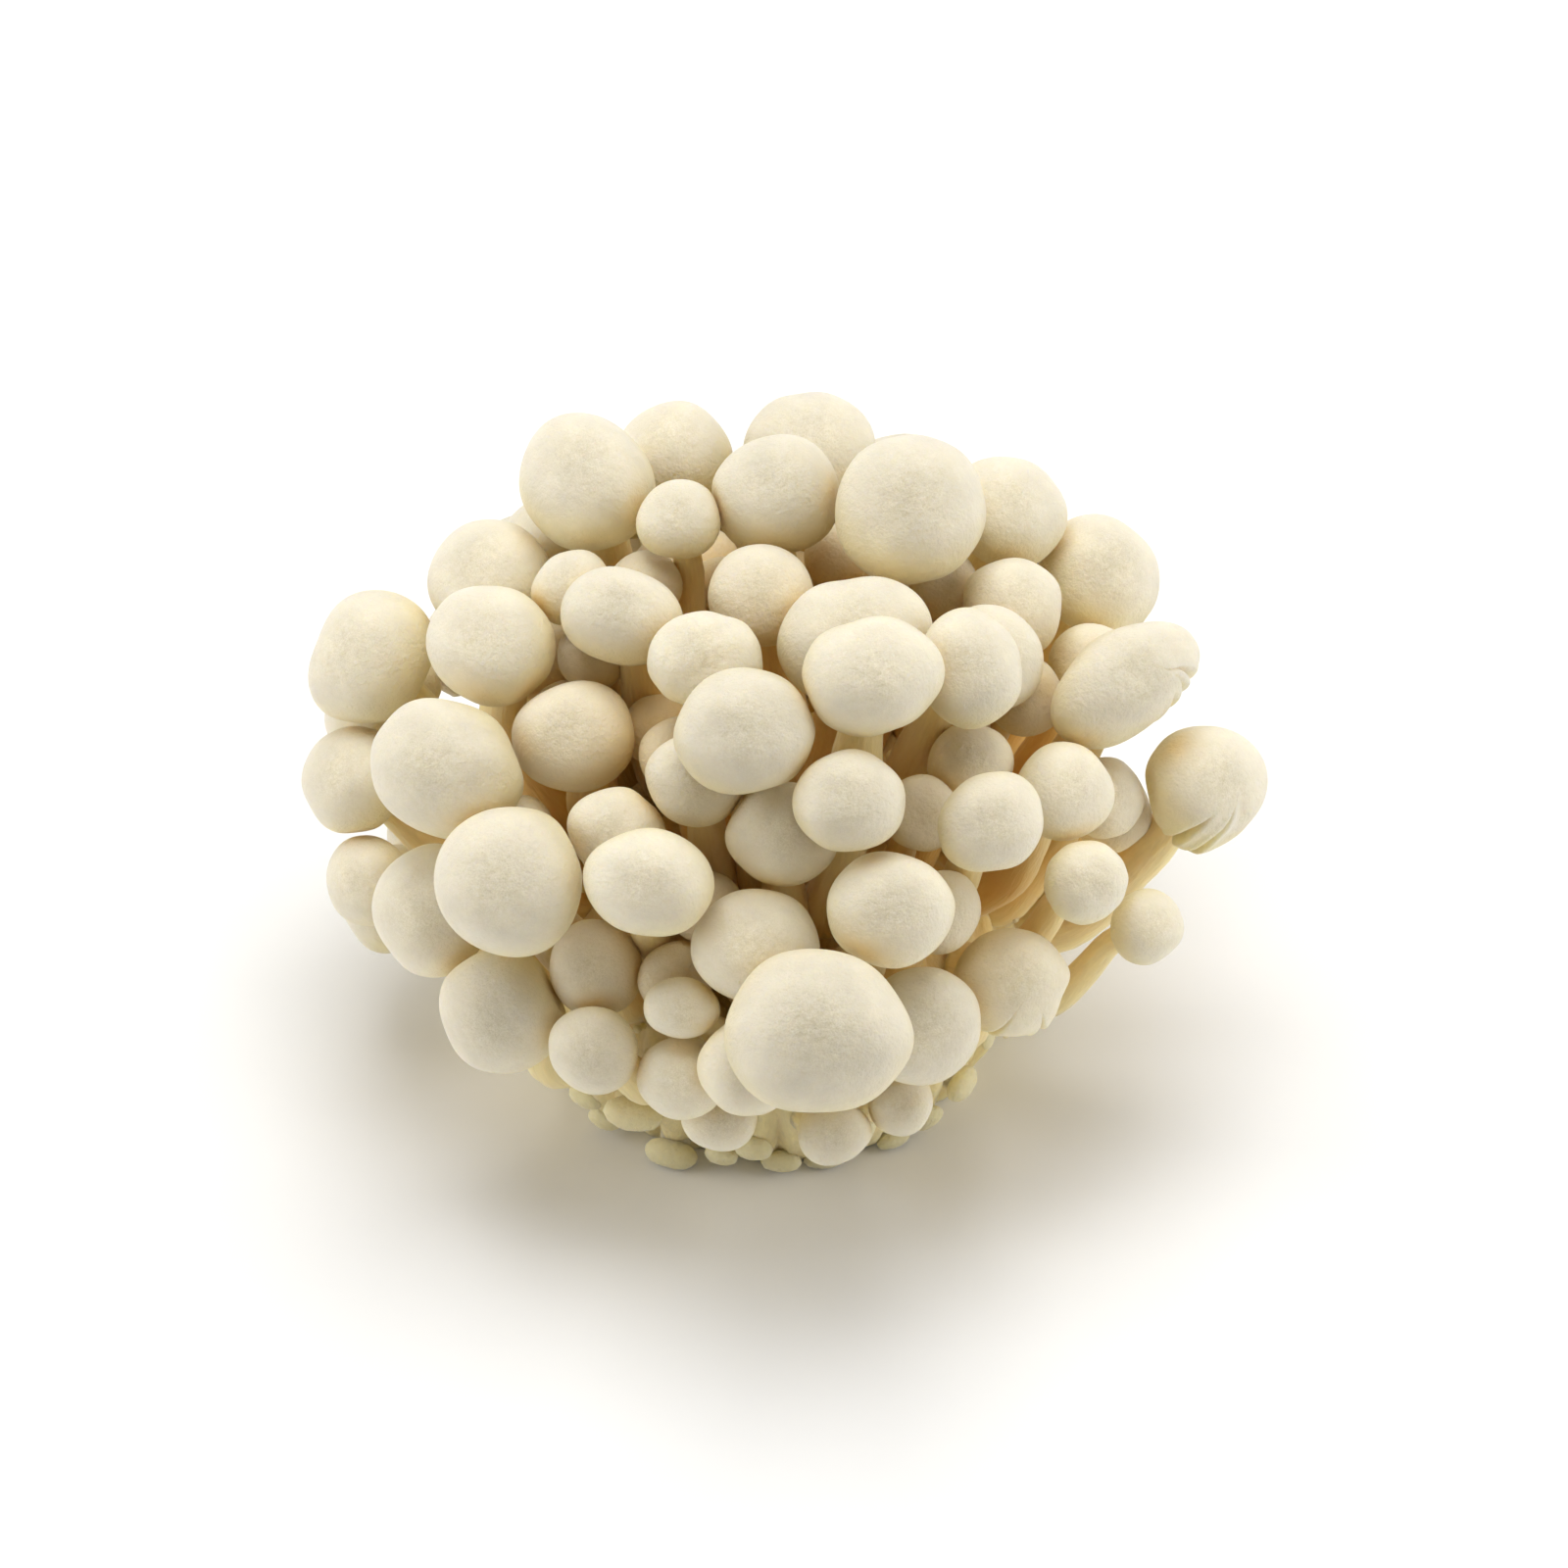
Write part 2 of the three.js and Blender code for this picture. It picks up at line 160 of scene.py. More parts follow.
class FootSettings(bpy.types.PropertyGroup):
    sides: IntProperty(name="Sides", description="Points round the foot", default=264, min=24)
    rows: IntProperty(name="Rows", description="Rows from the cut to the top", default=100, min=8)
    cut_rows: IntProperty(name="Cut rows", description="Rows across the cut face", default=24, min=2)
    rib_sink: length("Rib sink", "How far the flesh sinks between the fused stems", 1.9 * MM)
    buds: IntProperty(name="Buds", description="Pin-sized buds tried over the foot", default=420, min=0)
    bud_width: length("Bud width", "Width of a middling bud's cap", 2.3 * MM, 0.0001)
    seed: IntProperty(name="Seed", description="Start of the foot's random draws", default=11, min=0)


class StageSettings(bpy.types.PropertyGroup):
    elevation: FloatProperty(
        name="Camera elevation", description="Angle of the camera above level",
        subtype="ANGLE", unit="ROTATION", default=math.radians(40),
    )
    distance: length("Camera distance", "From the camera to the point it looks at", 0.6)
    aim: FloatVectorProperty(
        name="Camera aim", description="The point the camera looks at",
        subtype="XYZ", unit="LENGTH", size=3, default=(2.0 * MM, -5.7 * MM, 39.9 * MM),
    )
    lens: FloatProperty(name="Lens", description="Focal length in millimetres", default=120.5, min=1)
    key: power("Key light", "Power of the overhead softbox", 10.6)
    back: power("Back light", "Power of the softbox behind", 2.0)
    fill: power("Fill light", "Power of each side softbox", 4.2)
    world: FloatProperty(
        name="World", description="Strength of the even light all round", default=0.22, min=0
    )


# ---- reading the solids


@dataclass
class Mushroom:
    """A mushroom as its solid gives it: the line of its stem and the place and size of its cap."""

    name: str
    line: np.ndarray  # points of the stem from the root to the neck
    widths: np.ndarray  # the stem's radius at each of them
    place: np.ndarray
    axis: np.ndarray
    across: np.ndarray  # level, square to the axis
    radius: float
    half_sizes: tuple  # along `across` and square to it
    seed: int

    @property
    def second(self):
        return np.cross(self.axis, self.across)

    @property
    def middle(self):
        return self.place + self.axis * self.radius * CAP_MIDDLE

    def reach(self, direction):
        """How far the cap reaches from its middle in a direction."""
        along = float(direction @ self.axis)
        wide = max(self.half_sizes)
        tall = self.radius * CAP_HALF_HEIGHT
        return math.sqrt(wide * wide * max(0.0, 1 - along * along) + tall * tall * along * along)


def merged_copy(node):
    """Points and links of a node's solid, from a copy with its doubles merged."""
    copy = bmesh.new()
    copy.from_mesh(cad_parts[node].data)
    bmesh.ops.remove_doubles(copy, verts=copy.verts, dist=MERGE_DISTANCE)
    copy.verts.index_update()
    points = np.array([v.co[:] for v in copy.verts])
    links = [[e.other_vert(v).index for e in v.link_edges] for v in copy.verts]
    copy.free()
    return points, links


def rings_from(pole, links, most=99):
    """The rings of points round a pole, in order."""
    seen = {pole}
    ring = [pole]
    rings = []
    while len(rings) < most:
        ring = sorted({other for point in ring for other in links[point]} - seen)
        if not ring:
            break
        seen.update(ring)
        rings.append(ring)
    return rings


def unit(vector):
    return vector / np.linalg.norm(vector)


def unit_rows(vectors):
    return vectors / np.maximum(np.linalg.norm(vectors, axis=1), 1e-9)[:, None]


def make_mushroom(name, stem_rings, cap_rings, crown, seed):
    """A mushroom from the points of its stem's rings, its cap's rings and its crown."""
    line = np.array([ring.mean(0) for ring in stem_rings])
    widths = np.array([np.linalg.norm(ring - ring.mean(0), axis=1).mean() for ring in stem_rings])
    widest = cap_rings[1]
    centre = widest.mean(0)
    axis = unit(crown - cap_rings[0].mean(0))
    across = np.cross(UP, axis)
    across = unit(across) if np.linalg.norm(across) > 1e-3 else np.array([1.0, 0.0, 0.0])
    second = np.cross(axis, across)
    half_sizes = tuple(float(np.abs((widest - centre) @ side).max()) for side in (across, second))
    radius = math.sqrt(half_sizes[0] * half_sizes[1])
    place = centre - axis * radius * WIDEST_UP
    return Mushroom(name, line, widths, place, axis, across, radius, half_sizes, seed)


def read_mushroom(node, seed):
    """The mushroom that a node's solid is."""
    points, links = merged_copy(node)
    most = max(len(near) for near in links)
    poles = [i for i, near in enumerate(links) if len(near) == most]
    root = min(poles, key=lambda i: np.linalg.norm(points[i] - FOOT_CENTRE))
    rings = [points[ring] for ring in rings_from(root, links)]
    return make_mushroom(node, rings[:STEM_RINGS], rings[STEM_RINGS:-1], rings[-1][0], seed)


def read_sprouts():
    """The small mushrooms that are joined to the foot, each followed from its crown down to the foot."""
    points, links = merged_copy(FOOT)
    sprouts = []
    for pole, near in enumerate(links):
        rings = rings_from(pole, links, SPROUT_CAP_RINGS + STEM_RINGS)
        whole = [len(ring) == SPROUT_SIDES for ring in rings]
        if len(near) != SPROUT_SIDES or not all(whole[: SPROUT_CAP_RINGS + 2]):
            continue
        intact = whole.index(False) if False in whole else len(whole)
        cap = [points[ring] for ring in rings[:SPROUT_CAP_RINGS]][::-1]
        stem = [points[ring] for ring in rings[SPROUT_CAP_RINGS:intact]][::-1]
        first, then = stem[0].mean(0), stem[1].mean(0)
        lowest = foot_point_under(first, unit(first - then))
        stem.insert(0, stem[0] + (lowest - first))
        seed = SPROUT_SEED + len(sprouts)
        sprouts.append(make_mushroom(f"sprout_{len(sprouts) + 1}", stem, cap, points[pole], seed))
    return sprouts


# ---- the foot's shape

FOOT_CENTRE = np.array([0.0, 0.0, 15.5]) * MM
FOOT_HALF_SIZE = np.array([31.0, 31.0, 28.0]) * MM
CUT_LATITUDE = math.asin(-FOOT_CENTRE[2] / FOOT_HALF_SIZE[2])


def foot_normal(points):
    normals = (points - FOOT_CENTRE) / FOOT_HALF_SIZE**2
    return normals / np.linalg.norm(normals, axis=-1, keepdims=True)


def on_foot(turn, latitude):
    """Points on the foot's ellipsoid."""
    level = np.cos(latitude)
    round_it = np.stack([level * np.cos(turn), level * np.sin(turn), np.sin(latitude)], axis=-1)
    return FOOT_CENTRE + FOOT_HALF_SIZE * round_it


def turn_and_latitude(point):
    x, y, z = (point - FOOT_CENTRE) / FOOT_HALF_SIZE
    return math.atan2(y, x), math.atan2(z, math.hypot(x, y))


def foot_point_under(point, direction):
    """Where a line from a point meets the foot, or the nearest place on the foot if it misses."""
    start = (point - FOOT_CENTRE) / FOOT_HALF_SIZE
    step = direction / FOOT_HALF_SIZE
    a, b, c = step @ step, start @ step, start @ start - 1
    room = b * b - a * c
    if room > 0 and -b - math.sqrt(room) > 0:
        return point + direction * (-b - math.sqrt(room)) / a
    return on_foot(*turn_and_latitude(point))


# ---- growing a mushroom


def soft_noise(points, size, seed, octaves=2):
    """Smooth noise of about -1 to 1 from a few random waves, the same for the same seed."""
    rng = np.random.default_rng(seed)
    waves = 12
    total = np.zeros(len(points))
    for octave in range(octaves):
        ways = rng.normal(size=(waves, 3)) * 2**octave / size
        phases = rng.uniform(0, 2 * math.pi, waves)
        total += np.sin(points @ ways.T + phases).sum(1) / math.sqrt(waves) / 2**octave
    return total


def smooth_step(low, high, value):
    share = np.clip((value - low) / (high - low), 0, 1)
    return share * share * (3 - 2 * share)


def smooth_line(points, count):
    """`count` points on a smooth curve through some points, with each one's share of the way along."""
    points = np.vstack([2 * points[0] - points[1], points, 2 * points[-1] - points[-2]])
    spans = len(points) - 3
    place = np.linspace(0, spans, count)
    span = np.minimum(place.astype(int), spans - 1)
    t = (place - span)[:, None]
    p0, p1, p2, p3 = (points[span + k] for k in range(4))
    curve = 0.5 * (
        2 * p1
        + (p2 - p0) * t
        + (2 * p0 - 5 * p1 + 4 * p2 - p3) * t**2
        + (3 * p1 - p0 - 3 * p2 + p3) * t**3
    )
    return curve, place / spans


# A cap's section in cap radii: the dome, the side down to the margin, the rolled lip, the hollow that
# the gills hang in, and the fillet into the stem.
SIDE_UP = 0.03
DOME_HEIGHT = 0.84
SIDE_DROP = 0.40
SIDE_DRAW = 0.12
LIP_RADIUS = 0.05
ROOF_UP = -0.115
ROOF_OUT = 0.50
FILLET = 0.12

# How much wider than its solid a stem grows, so that the stems fuse low down.
STEM_ROOT_SWELL = 1.7
STEM_TOP_SWELL = 1.1


def along_stem(shares, widths):
    """A stem's radius at shares of its way up."""
    return np.interp(shares, np.linspace(0, 1, len(widths)), widths)


def arc(count, first, last):
    return np.radians(np.linspace(first, last, count, endpoint=False))


def cap_section(stem_share):
    """Points [out, up] of a cap's section from the top of the stem to just before the crown."""
    lip_out, lip_up = 1 - SIDE_DRAW, SIDE_UP - SIDE_DROP
    fillet = arc(5, 0, 90)
    roof = arc(7, 90, 0)
    lip = arc(7, 180, 360)
    drop = np.linspace(1, 0, 7, endpoint=False)
    dome = arc(26, 0, 90)
    outs = [
        stem_share + FILLET * (1 - np.cos(fillet)),
        np.linspace(stem_share + FILLET, ROOF_OUT, 3, endpoint=False),
        ROOF_OUT + (lip_out - 2 * LIP_RADIUS - ROOF_OUT) * np.cos(roof),
        lip_out - LIP_RADIUS + LIP_RADIUS * np.cos(lip),
        1 - SIDE_DRAW * drop**2.2,
        np.cos(dome) ** 0.92,
    ]
    ups = [
        ROOF_UP - FILLET * (1 - np.sin(fillet)),
        np.full(3, ROOF_UP),
        lip_up + (ROOF_UP - lip_up) * np.sin(roof),
        lip_up + LIP_RADIUS * np.sin(lip),
        SIDE_UP - SIDE_DROP * drop,
        SIDE_UP + DOME_HEIGHT * np.sin(dome),
    ]
    return np.column_stack([np.concatenate(outs), np.concatenate(ups)])


def stem_rows(m, settings, count):
    """Centres, frames and radii of the rings up a stem, from inside the foot to the top of the stem."""
    into_foot = m.line[0] - foot_normal(m.line[0]) * settings.root_depth
    section_top = m.place + m.axis * m.radius * (ROOF_UP - FILLET)
    line = np.vstack([into_foot, m.line[:-1], section_top])
    swell = np.linspace(STEM_ROOT_SWELL, STEM_TOP_SWELL, len(line))
    widths = np.concatenate([m.widths[:1], m.widths]) * swell
    centres, shares = smooth_line(line, count)
    radii = along_stem(shares, widths)
    along = np.gradient(centres, axis=0)
    along[-1] = m.axis
    firsts = np.empty_like(centres)
    first = m.across
    for k in range(count - 1, -1, -1):
        way = unit(along[k])
        first = unit(first - way * (first @ way))
        firsts[k] = first
    seconds = np.cross(along / np.linalg.norm(along, axis=1, keepdims=True), firsts)
    return centres, firsts, seconds, radii


@dataclass
class Skin:
    """A surface under construction: points, faces, and what the flesh material reads at each point."""

    points: np.ndarray
    faces: list
    # the crown patch leans to the front, where it is painted shade as well as the cap's own mottling
    crown: np.ndarray  # 1 on top of a cap, 0 at its margin and below
    stem: np.ndarray  # 1 on a stem, 0 on a cap
    bruise: np.ndarray
    # the margin value places painted warm shade low on a cap and under it
    margin: np.ndarray  # 1 low down the side of a cap
    # the crevice value is the mask of the painted shade between pressed caps
    crevice: np.ndarray  # 1 where a neighbour presses
    grain: np.ndarray  # place in the flesh in millimetres, drawn out along the stems


SKIN_VALUES = ("crown", "stem", "bruise", "margin", "crevice", "grain")
# how far the painted crevice shade spreads out from a touching cap
CREVICE_SHADE_REACH = 0.8 * MM


def ring_faces(rows, sides):
    """Faces of a closed skin through rows of points, with a point at each end."""
    k = np.arange(sides)
    after = (k + 1) % sides
    last = rows * sides + 1
    faces = [(0, 1 + b, 1 + a) for a, b in zip(k.tolist(), after.tolist())]
    for row in range(rows - 1):
        low, high = 1 + row * sides, 1 + (row + 1) * sides
        corners = (low + k, low + after, high + after, high + k)
        faces.extend(zip(*(corner.tolist() for corner in corners)))
    top = 1 + (rows - 1) * sides
    faces.extend((top + a, top + b, last) for a, b in zip(k.tolist(), after.tolist()))
    return faces


# How the caps crowd each other.
PRESS_WITHIN = 0.12  # how near two caps are when they press, as a share of both reaches
PRESS_GAP = 0.04 * MM  # how far each stops short of the wall between them
STEM_STEPS = 17  # places along a stem where it may dent a cap
STEM_NEAR = 1.5  # how near a stem is to matter, in cap radii
STEM_CLEARANCE = 1.1  # how wide a stem is to a cap that it dents, in its own widths


def press_against(points, weight, m, others, softness):
    """Flattens a cap where it meets its neighbours' caps."""
    for other in others:
        apart = other.middle - m.middle
        distance = np.linalg.norm(apart)
        way = apart / distance
        mine, theirs = m.reach(way), other.reach(-way)
        spare = distance - mine - theirs
        if spare > PRESS_WITHIN * (mine + theirs):
            continue
        wall = m.middle @ way + mine + spare / 2 - PRESS_GAP
        room = wall - points @ way
        kept = 0.5 * (room + np.sqrt(room**2 + 4 * softness**2))
        points -= ((kept - room) * weight)[:, None] * way
    return points


def press_off_stems(points, weight, m, others):
    """Dents a cap where another mushroom's stem passes it."""
    for other in others:
        line, shares = smooth_line(other.line, STEM_STEPS)
        widths = along_stem(shares, other.widths)
        near = np.linalg.norm(line - m.middle, axis=1) < m.radius * STEM_NEAR + widths
        for centre, width in zip(line[near], widths[near]):
            away = points - centre
            distance = np.linalg.norm(away, axis=1)
            short = np.clip(width * STEM_CLEARANCE - distance, 0, None) * weight
            points += away / np.maximum(distance, 1e-9)[:, None] * short[:, None]
    return points


def degrees_off(turns, turn):
    """How many degrees directions lie to either side of one."""
    return np.abs((np.degrees(turns) - turn + 180) % 360 - 180)


def from_axis(points, m):
    """The way from a mushroom's axis straight out to each point."""
    away = points - m.place
    return away - np.outer(away @ m.axis, m.axis)


SPLIT_FINENESS = 3  # how many times more points go round a cap that has splits
SPLIT_CURL = 0.05  # how far the skin beside a split curls out, as a share of its way from the axis
LOBE_TOP = 0.85  # how high up a cap its lobes are felt, in cap radii

# Splits in a cap's margin: direction round the cap (degrees from level right), width (degrees), depth
# and reach up the side (cap radii).
SPLITS = {
    "right_mushroom_3": [(202, 4.0, 0.26, 0.95), (229, 4.0, 0.32, 1.25)],
    "right_mushroom_1": [(314, 6.0, 0.46, 1.45), (300, 4.0, 0.36, 1.15), (287, 4.0, 0.28, 0.90)],
    "crown_mushroom_7": [(250, 6.0, 0.18, 0.4)],
    "right_mushroom_7": [(285, 4.0, 0.40, 1.10), (232, 3.0, 0.20, 1.40), (325, 4.0, 0.34, 0.70)],
    "left_mushroom_7": [(265, 4.0, 0.10, 0.25)],
}
# Lobes drawn out of a cap's margin, or into it where `out` is negative: direction, half width (degrees),
# and how far out and down (cap radii).
LOBES = {
    "right_mushroom_1": [(340, 38, 0.16, -0.06), (302, 20, -0.12, -0.08), (200, 50, 0.06, 0.10)],
    "right_mushroom_3": [(246, 13, 0.03, 0.36), (216, 8, 0.02, 0.16)],
    "right_mushroom_4": [(40, 34, 0.16, 0.0)],
    "right_mushroom_7": [(300, 26, 0.22, 0.0), (345, 16, 0.20, 0.12)],
}
BRUISED = {"right_mushroom_7": 0.18}  # how bruised a whole cap is
# A brown spot on a cap: direction (degrees), height and width (cap radii).
SPOTS = {"left_mushroom_7": (268, -0.15, 0.10)}


def split_margins(points, turns, ups, weight, m):
    """Cuts the splits that a cap has into its margin. Returns the points and how torn each is."""
    torn = np.zeros(len(points))
    lip_up = SIDE_UP - SIDE_DROP
    for turn, width, depth, reach in SPLITS.get(m.name, []):
        off = degrees_off(turns, turn)
        low = np.clip(1 - (ups - lip_up) / reach, 0, 1)
        cut = np.exp(-((off / (width * (0.35 + 0.65 * low))) ** 2)) * low**0.7 * weight
        inward = -from_axis(points, m)
        points += inward * (depth * cut)[:, None]
        torn = np.maximum(torn, cut)
        curl = np.exp(-(((off - width * 1.7) / width) ** 2)) * low * weight
        points -= inward * (SPLIT_CURL * curl)[:, None]
    return points, torn


def draw_lobes(points, turns, ups, weight, m):
    """Draws the lobes that a cap has out of its margin."""
    for turn, width, out, down in LOBES.get(m.name, []):
        off = degrees_off(turns, turn)
        share = np.exp(-((off / width) ** 2)) * np.clip(1 - ups / LOBE_TOP, 0, 1) * weight
        points += from_axis(points, m) * (out * share)[:, None] - np.outer(down * m.radius * share, m.axis)
    return points


UNDERSIDE_ROWS = 14  # rows of a cap's section before its lip
NEARBY = 2.6  # how near a neighbour is to matter, in the two caps' radii
FAR = 9  # a height beyond every cap's section, for the points of stem and crown
USUAL_RADIUS = 7 * MM  # the cap that the press setting is meant for
STEM_BUMP_SIZE = 3.2 * MM
STEM_BUMP_HEIGHT = 0.05  # in stem radii
STEM_GRAIN_DRAW = 0.16  # how far the grain is drawn out along a stem
GRAIN_SHIFT = 50  # how far apart the grain of two mushrooms may start, in millimetres
TORN_BRUISE = 0.8  # how bruised a torn edge is
# painted warm shade under a cap, as a share of the margin colour
UNDERSIDE_SHADE = 0.7  # how like its margin the underside of a cap is coloured


def grow_mushroom(m, caps, settings, sides, stem_count):
    """The fine skin of one mushroom, without gills."""
    if m.name in SPLITS:
        sides *= SPLIT_FINENESS
    stem_share = float(m.widths[-1] / m.radius)
    section = cap_section(stem_share)
    centres, firsts, seconds, radii = stem_rows(m, settings, stem_count)
    turns = np.linspace(0, 2 * math.pi, sides, endpoint=False)
    cos, sin = np.cos(turns)[:, None], np.sin(turns)[:, None]
    stem = [
        centre + radius * (cos * first + sin * second)
        for centre, first, second, radius in zip(centres, firsts, seconds, radii)
    ]
    swell = 1 + settings.swell
    wide, deep = (size / m.radius for size in m.half_sizes)
    cap = []
    for out, up in section[1:]:
        oval = smooth_step(stem_share, 0.6, out)
        grown = 1 + (swell - 1) * smooth_step(stem_share, 0.7, out)
        across = out * m.radius * grown * (1 + (wide - 1) * oval)
        back = out * m.radius * grown * (1 + (deep - 1) * oval)
        centre = m.place + m.axis * m.radius * up * (swell if up > 0 else 1)
        cap.append(centre + across * cos * m.across + back * sin * m.second)
    crown_point = m.place + m.axis * m.radius * swell * (SIDE_UP + DOME_HEIGHT)
    rows = len(stem) + len(cap)
    points = np.vstack([centres[:1], *stem, *cap, crown_point[None]])

    def over_cap(values, before, after):
        """A value for every point: one below the cap, one a row in it, and one at the crown."""
        return np.concatenate([np.full(1 + len(stem) * sides, before), np.repeat(values, sides), [after]])

    outs, ups = over_cap(section[1:, 0], 0, 0), over_cap(section[1:, 1], -FAR, FAR)
    is_cap = np.arange(len(points)) > len(stem) * sides
    outer = is_cap & (np.arange(len(points)) > (len(stem) + UNDERSIDE_ROWS) * sides)
    weight = np.where(outer, 1.0, np.where(is_cap, smooth_step(stem_share + 0.05, 0.75, outs), 0.0))
    all_turns = np.concatenate([[0], np.tile(turns, rows), [0]])

    # soft lumps all over the cap, and a slow bend and thickening of the stem
    away = unit_rows(points - m.place)
    size = settings.lump_size * m.radius
    lumps = soft_noise(points, size, m.seed)
    points += away * (lumps * settings.lump_height * m.radius * weight)[:, None]
    points = draw_lobes(points, all_turns, ups, np.minimum(weight, ups > -1), m)
    points, torn = split_margins(points, all_turns, ups, weight, m)
    neighbours = [
        other for other in caps
        if other is not m and np.linalg.norm(other.place - m.place) < NEARBY * (other.radius + m.radius)
    ]
    points = press_off_stems(points, weight, m, neighbours)
    points = press_against(points, weight, m, neighbours, settings.press * m.radius / USUAL_RADIUS)
    spine = np.repeat(centres, sides, axis=0)
    body = np.zeros(len(points), bool)
    body[1 : 1 + len(stem) * sides] = True
    bumps = soft_noise(points[body], STEM_BUMP_SIZE, m.seed + 2)
    points[body] += (points[body] - spine) * (bumps * STEM_BUMP_HEIGHT)[:, None]

    local = points - m.place
    grain = np.column_stack([local @ m.across, local @ m.second, local @ m.axis]) / MM
    climbed = np.concatenate([[0], np.cumsum(np.linalg.norm(np.diff(centres, axis=0), axis=1))]) / MM
    rise = np.repeat(climbed - climbed[-1], sides)
    ring_out = np.repeat(radii, sides) / MM
    ring_turns = np.tile(turns, len(stem))
    grain[body] = np.column_stack(
        [ring_out * np.cos(ring_turns), ring_out * np.sin(ring_turns), rise * STEM_GRAIN_DRAW]
    )
    grain += np.random.default_rng(m.seed).uniform(-GRAIN_SHIFT, GRAIN_SHIFT, 3)
    points[:, 2] = np.maximum(points[:, 2], LOWEST)
    # the patch turns towards the front, where its darkening is painted shade
    facing = unit(m.axis + (0.0 if m.name.startswith("back") else PATCH_SHADE_LEAN) * TO_VIEWER)
    turned = unit_rows(local) @ facing
    crown = np.where(outer, np.exp((turned - 1) / PATCH_SHADE_SPREAD), 0)
    stemness = np.where(~is_cap, 1.0, np.where(outer, 0.0, 1 - 0.5 * weight))
    bruise = np.clip(torn * TORN_BRUISE + BRUISED.get(m.name, 0) * is_cap, 0, 1)
    if m.name in SPOTS:
        turn, up, wide_spot = SPOTS[m.name]
        off = np.radians(degrees_off(all_turns, turn))
        spot = np.exp(-((off / wide_spot) ** 2 + ((ups - up) / wide_spot) ** 2))
        bruise = np.maximum(bruise, spot * is_cap)
    # painted warm shade low down the cap's side and under it
    margin = np.where(outer, smooth_step(0.62, -0.1, ups), UNDERSIDE_SHADE)
    # painted shade in the crevices where neighbours press
    crevice = closeness(points, neighbours)
    return Skin(points, ring_faces(rows, sides), crown, stemness, bruise, margin, crevice, grain)


def closeness(points, others):
    """1 at points that touch another cap, falling to 0 within a few of the crevice's reach: the mask of the
    painted shade in the crevices between caps.
    """
    near = np.zeros(len(points))
    for other in others:
        away = points - other.middle
        distance = np.maximum(np.linalg.norm(away, axis=1), 1e-9)
        along = (away @ other.axis / distance) ** 2
        wide, tall = max(other.half_sizes), other.radius * CAP_HALF_HEIGHT
        reach = np.sqrt(wide**2 * (1 - along) + tall**2 * along)
        near = np.maximum(near, np.exp(-np.clip(distance - reach * 1.05, 0, None) / CREVICE_SHADE_REACH))
    return near


def even_skin(points, faces, stem, margin, grain, crown=0.0):
    """A skin that is neither bruised nor pressed, and as much stem and margin everywhere."""
    none = np.zeros(len(points))
    return Skin(points, faces, none + crown, none + stem, none, none + margin, none, grain)


def join_skins(skins):
    """Several skins as one, each still closed in itself."""
    faces = []
    start = 0
    for skin in skins:
        faces.extend(tuple(start + i for i in face) for face in skin.faces)
        start += len(skin.points)
    joined = {name: np.concatenate([getattr(skin, name) for skin in skins]) for name in SKIN_VALUES}
    return Skin(np.vstack([skin.points for skin in skins]), faces, **joined)


def depth_between(points):
    """0 out at the crown's skin and 1 deep between the mushrooms, where the deep colour lays the stems' own
    amber and painted warm shade.
    """
    out = np.linalg.norm((points - CROWN_CENTRE) / CROWN_HALF_SIZE, axis=1)
    return smooth_step(DEEP_FROM, DEEP_AT, out) * smooth_step(DEEP_LOW, DEEP_HIGH, points[:, 2])


def add_object(name, data):
    """A new object in the scene."""
    thing = bpy.data.objects.new(name, data)
    bpy.context.scene.collection.objects.link(thing)
    return thing


def points_and_faces(mesh):
    points = np.empty(len(mesh.vertices) * 3)
    mesh.vertices.foreach_get("co", points)
    return points.reshape(-1, 3), [tuple(polygon.vertices) for polygon in mesh.polygons]


def set_attribute(mesh, name, values):
    kind, key = ("FLOAT_VECTOR", "vector") if values.ndim == 2 else ("FLOAT", "value")
    attribute = mesh.attributes.new(name, kind, "POINT")
    attribute.data.foreach_set(key, np.ascontiguousarray(values, dtype=np.float32).ravel())


def add_piece(name, skin, material, slot, *nodes, tone=0.0):
    """A finished piece from a skin: smooth, with its attributes and material, riding on the root body."""
    mesh = bpy.data.meshes.new(name)
    mesh.from_pydata(skin.points.tolist(), [], skin.faces)
    mesh.polygons.foreach_set("use_smooth", np.ones(len(mesh.polygons), bool))
    for value in SKIN_VALUES:
        set_attribute(mesh, value, getattr(skin, value))
    # how deep between the mushrooms each point lies, for the deep colour's own tone and painted shade
    set_attribute(mesh, "depth", depth_between(skin.points))
    set_attribute(mesh, "tone", np.full(len(skin.points), tone))
    mesh.materials.append(material)
    mesh.update()
    piece = add_object(name, mesh)
    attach(piece, "root")
    if nodes:
        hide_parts(*nodes)
    return piece


# ---- geometry node trees


class NodeMath:
    """Arithmetic between sockets and numbers, for the two writers of nodes below."""

    def plus(self, *values, **options):
        return self.math("ADD", *values, **options)

    def minus(self, *values, **options):
        return self.math("SUBTRACT", *values, **options)

    def times(self, *values, **options):
        return self.math("MULTIPLY", *values, **options)


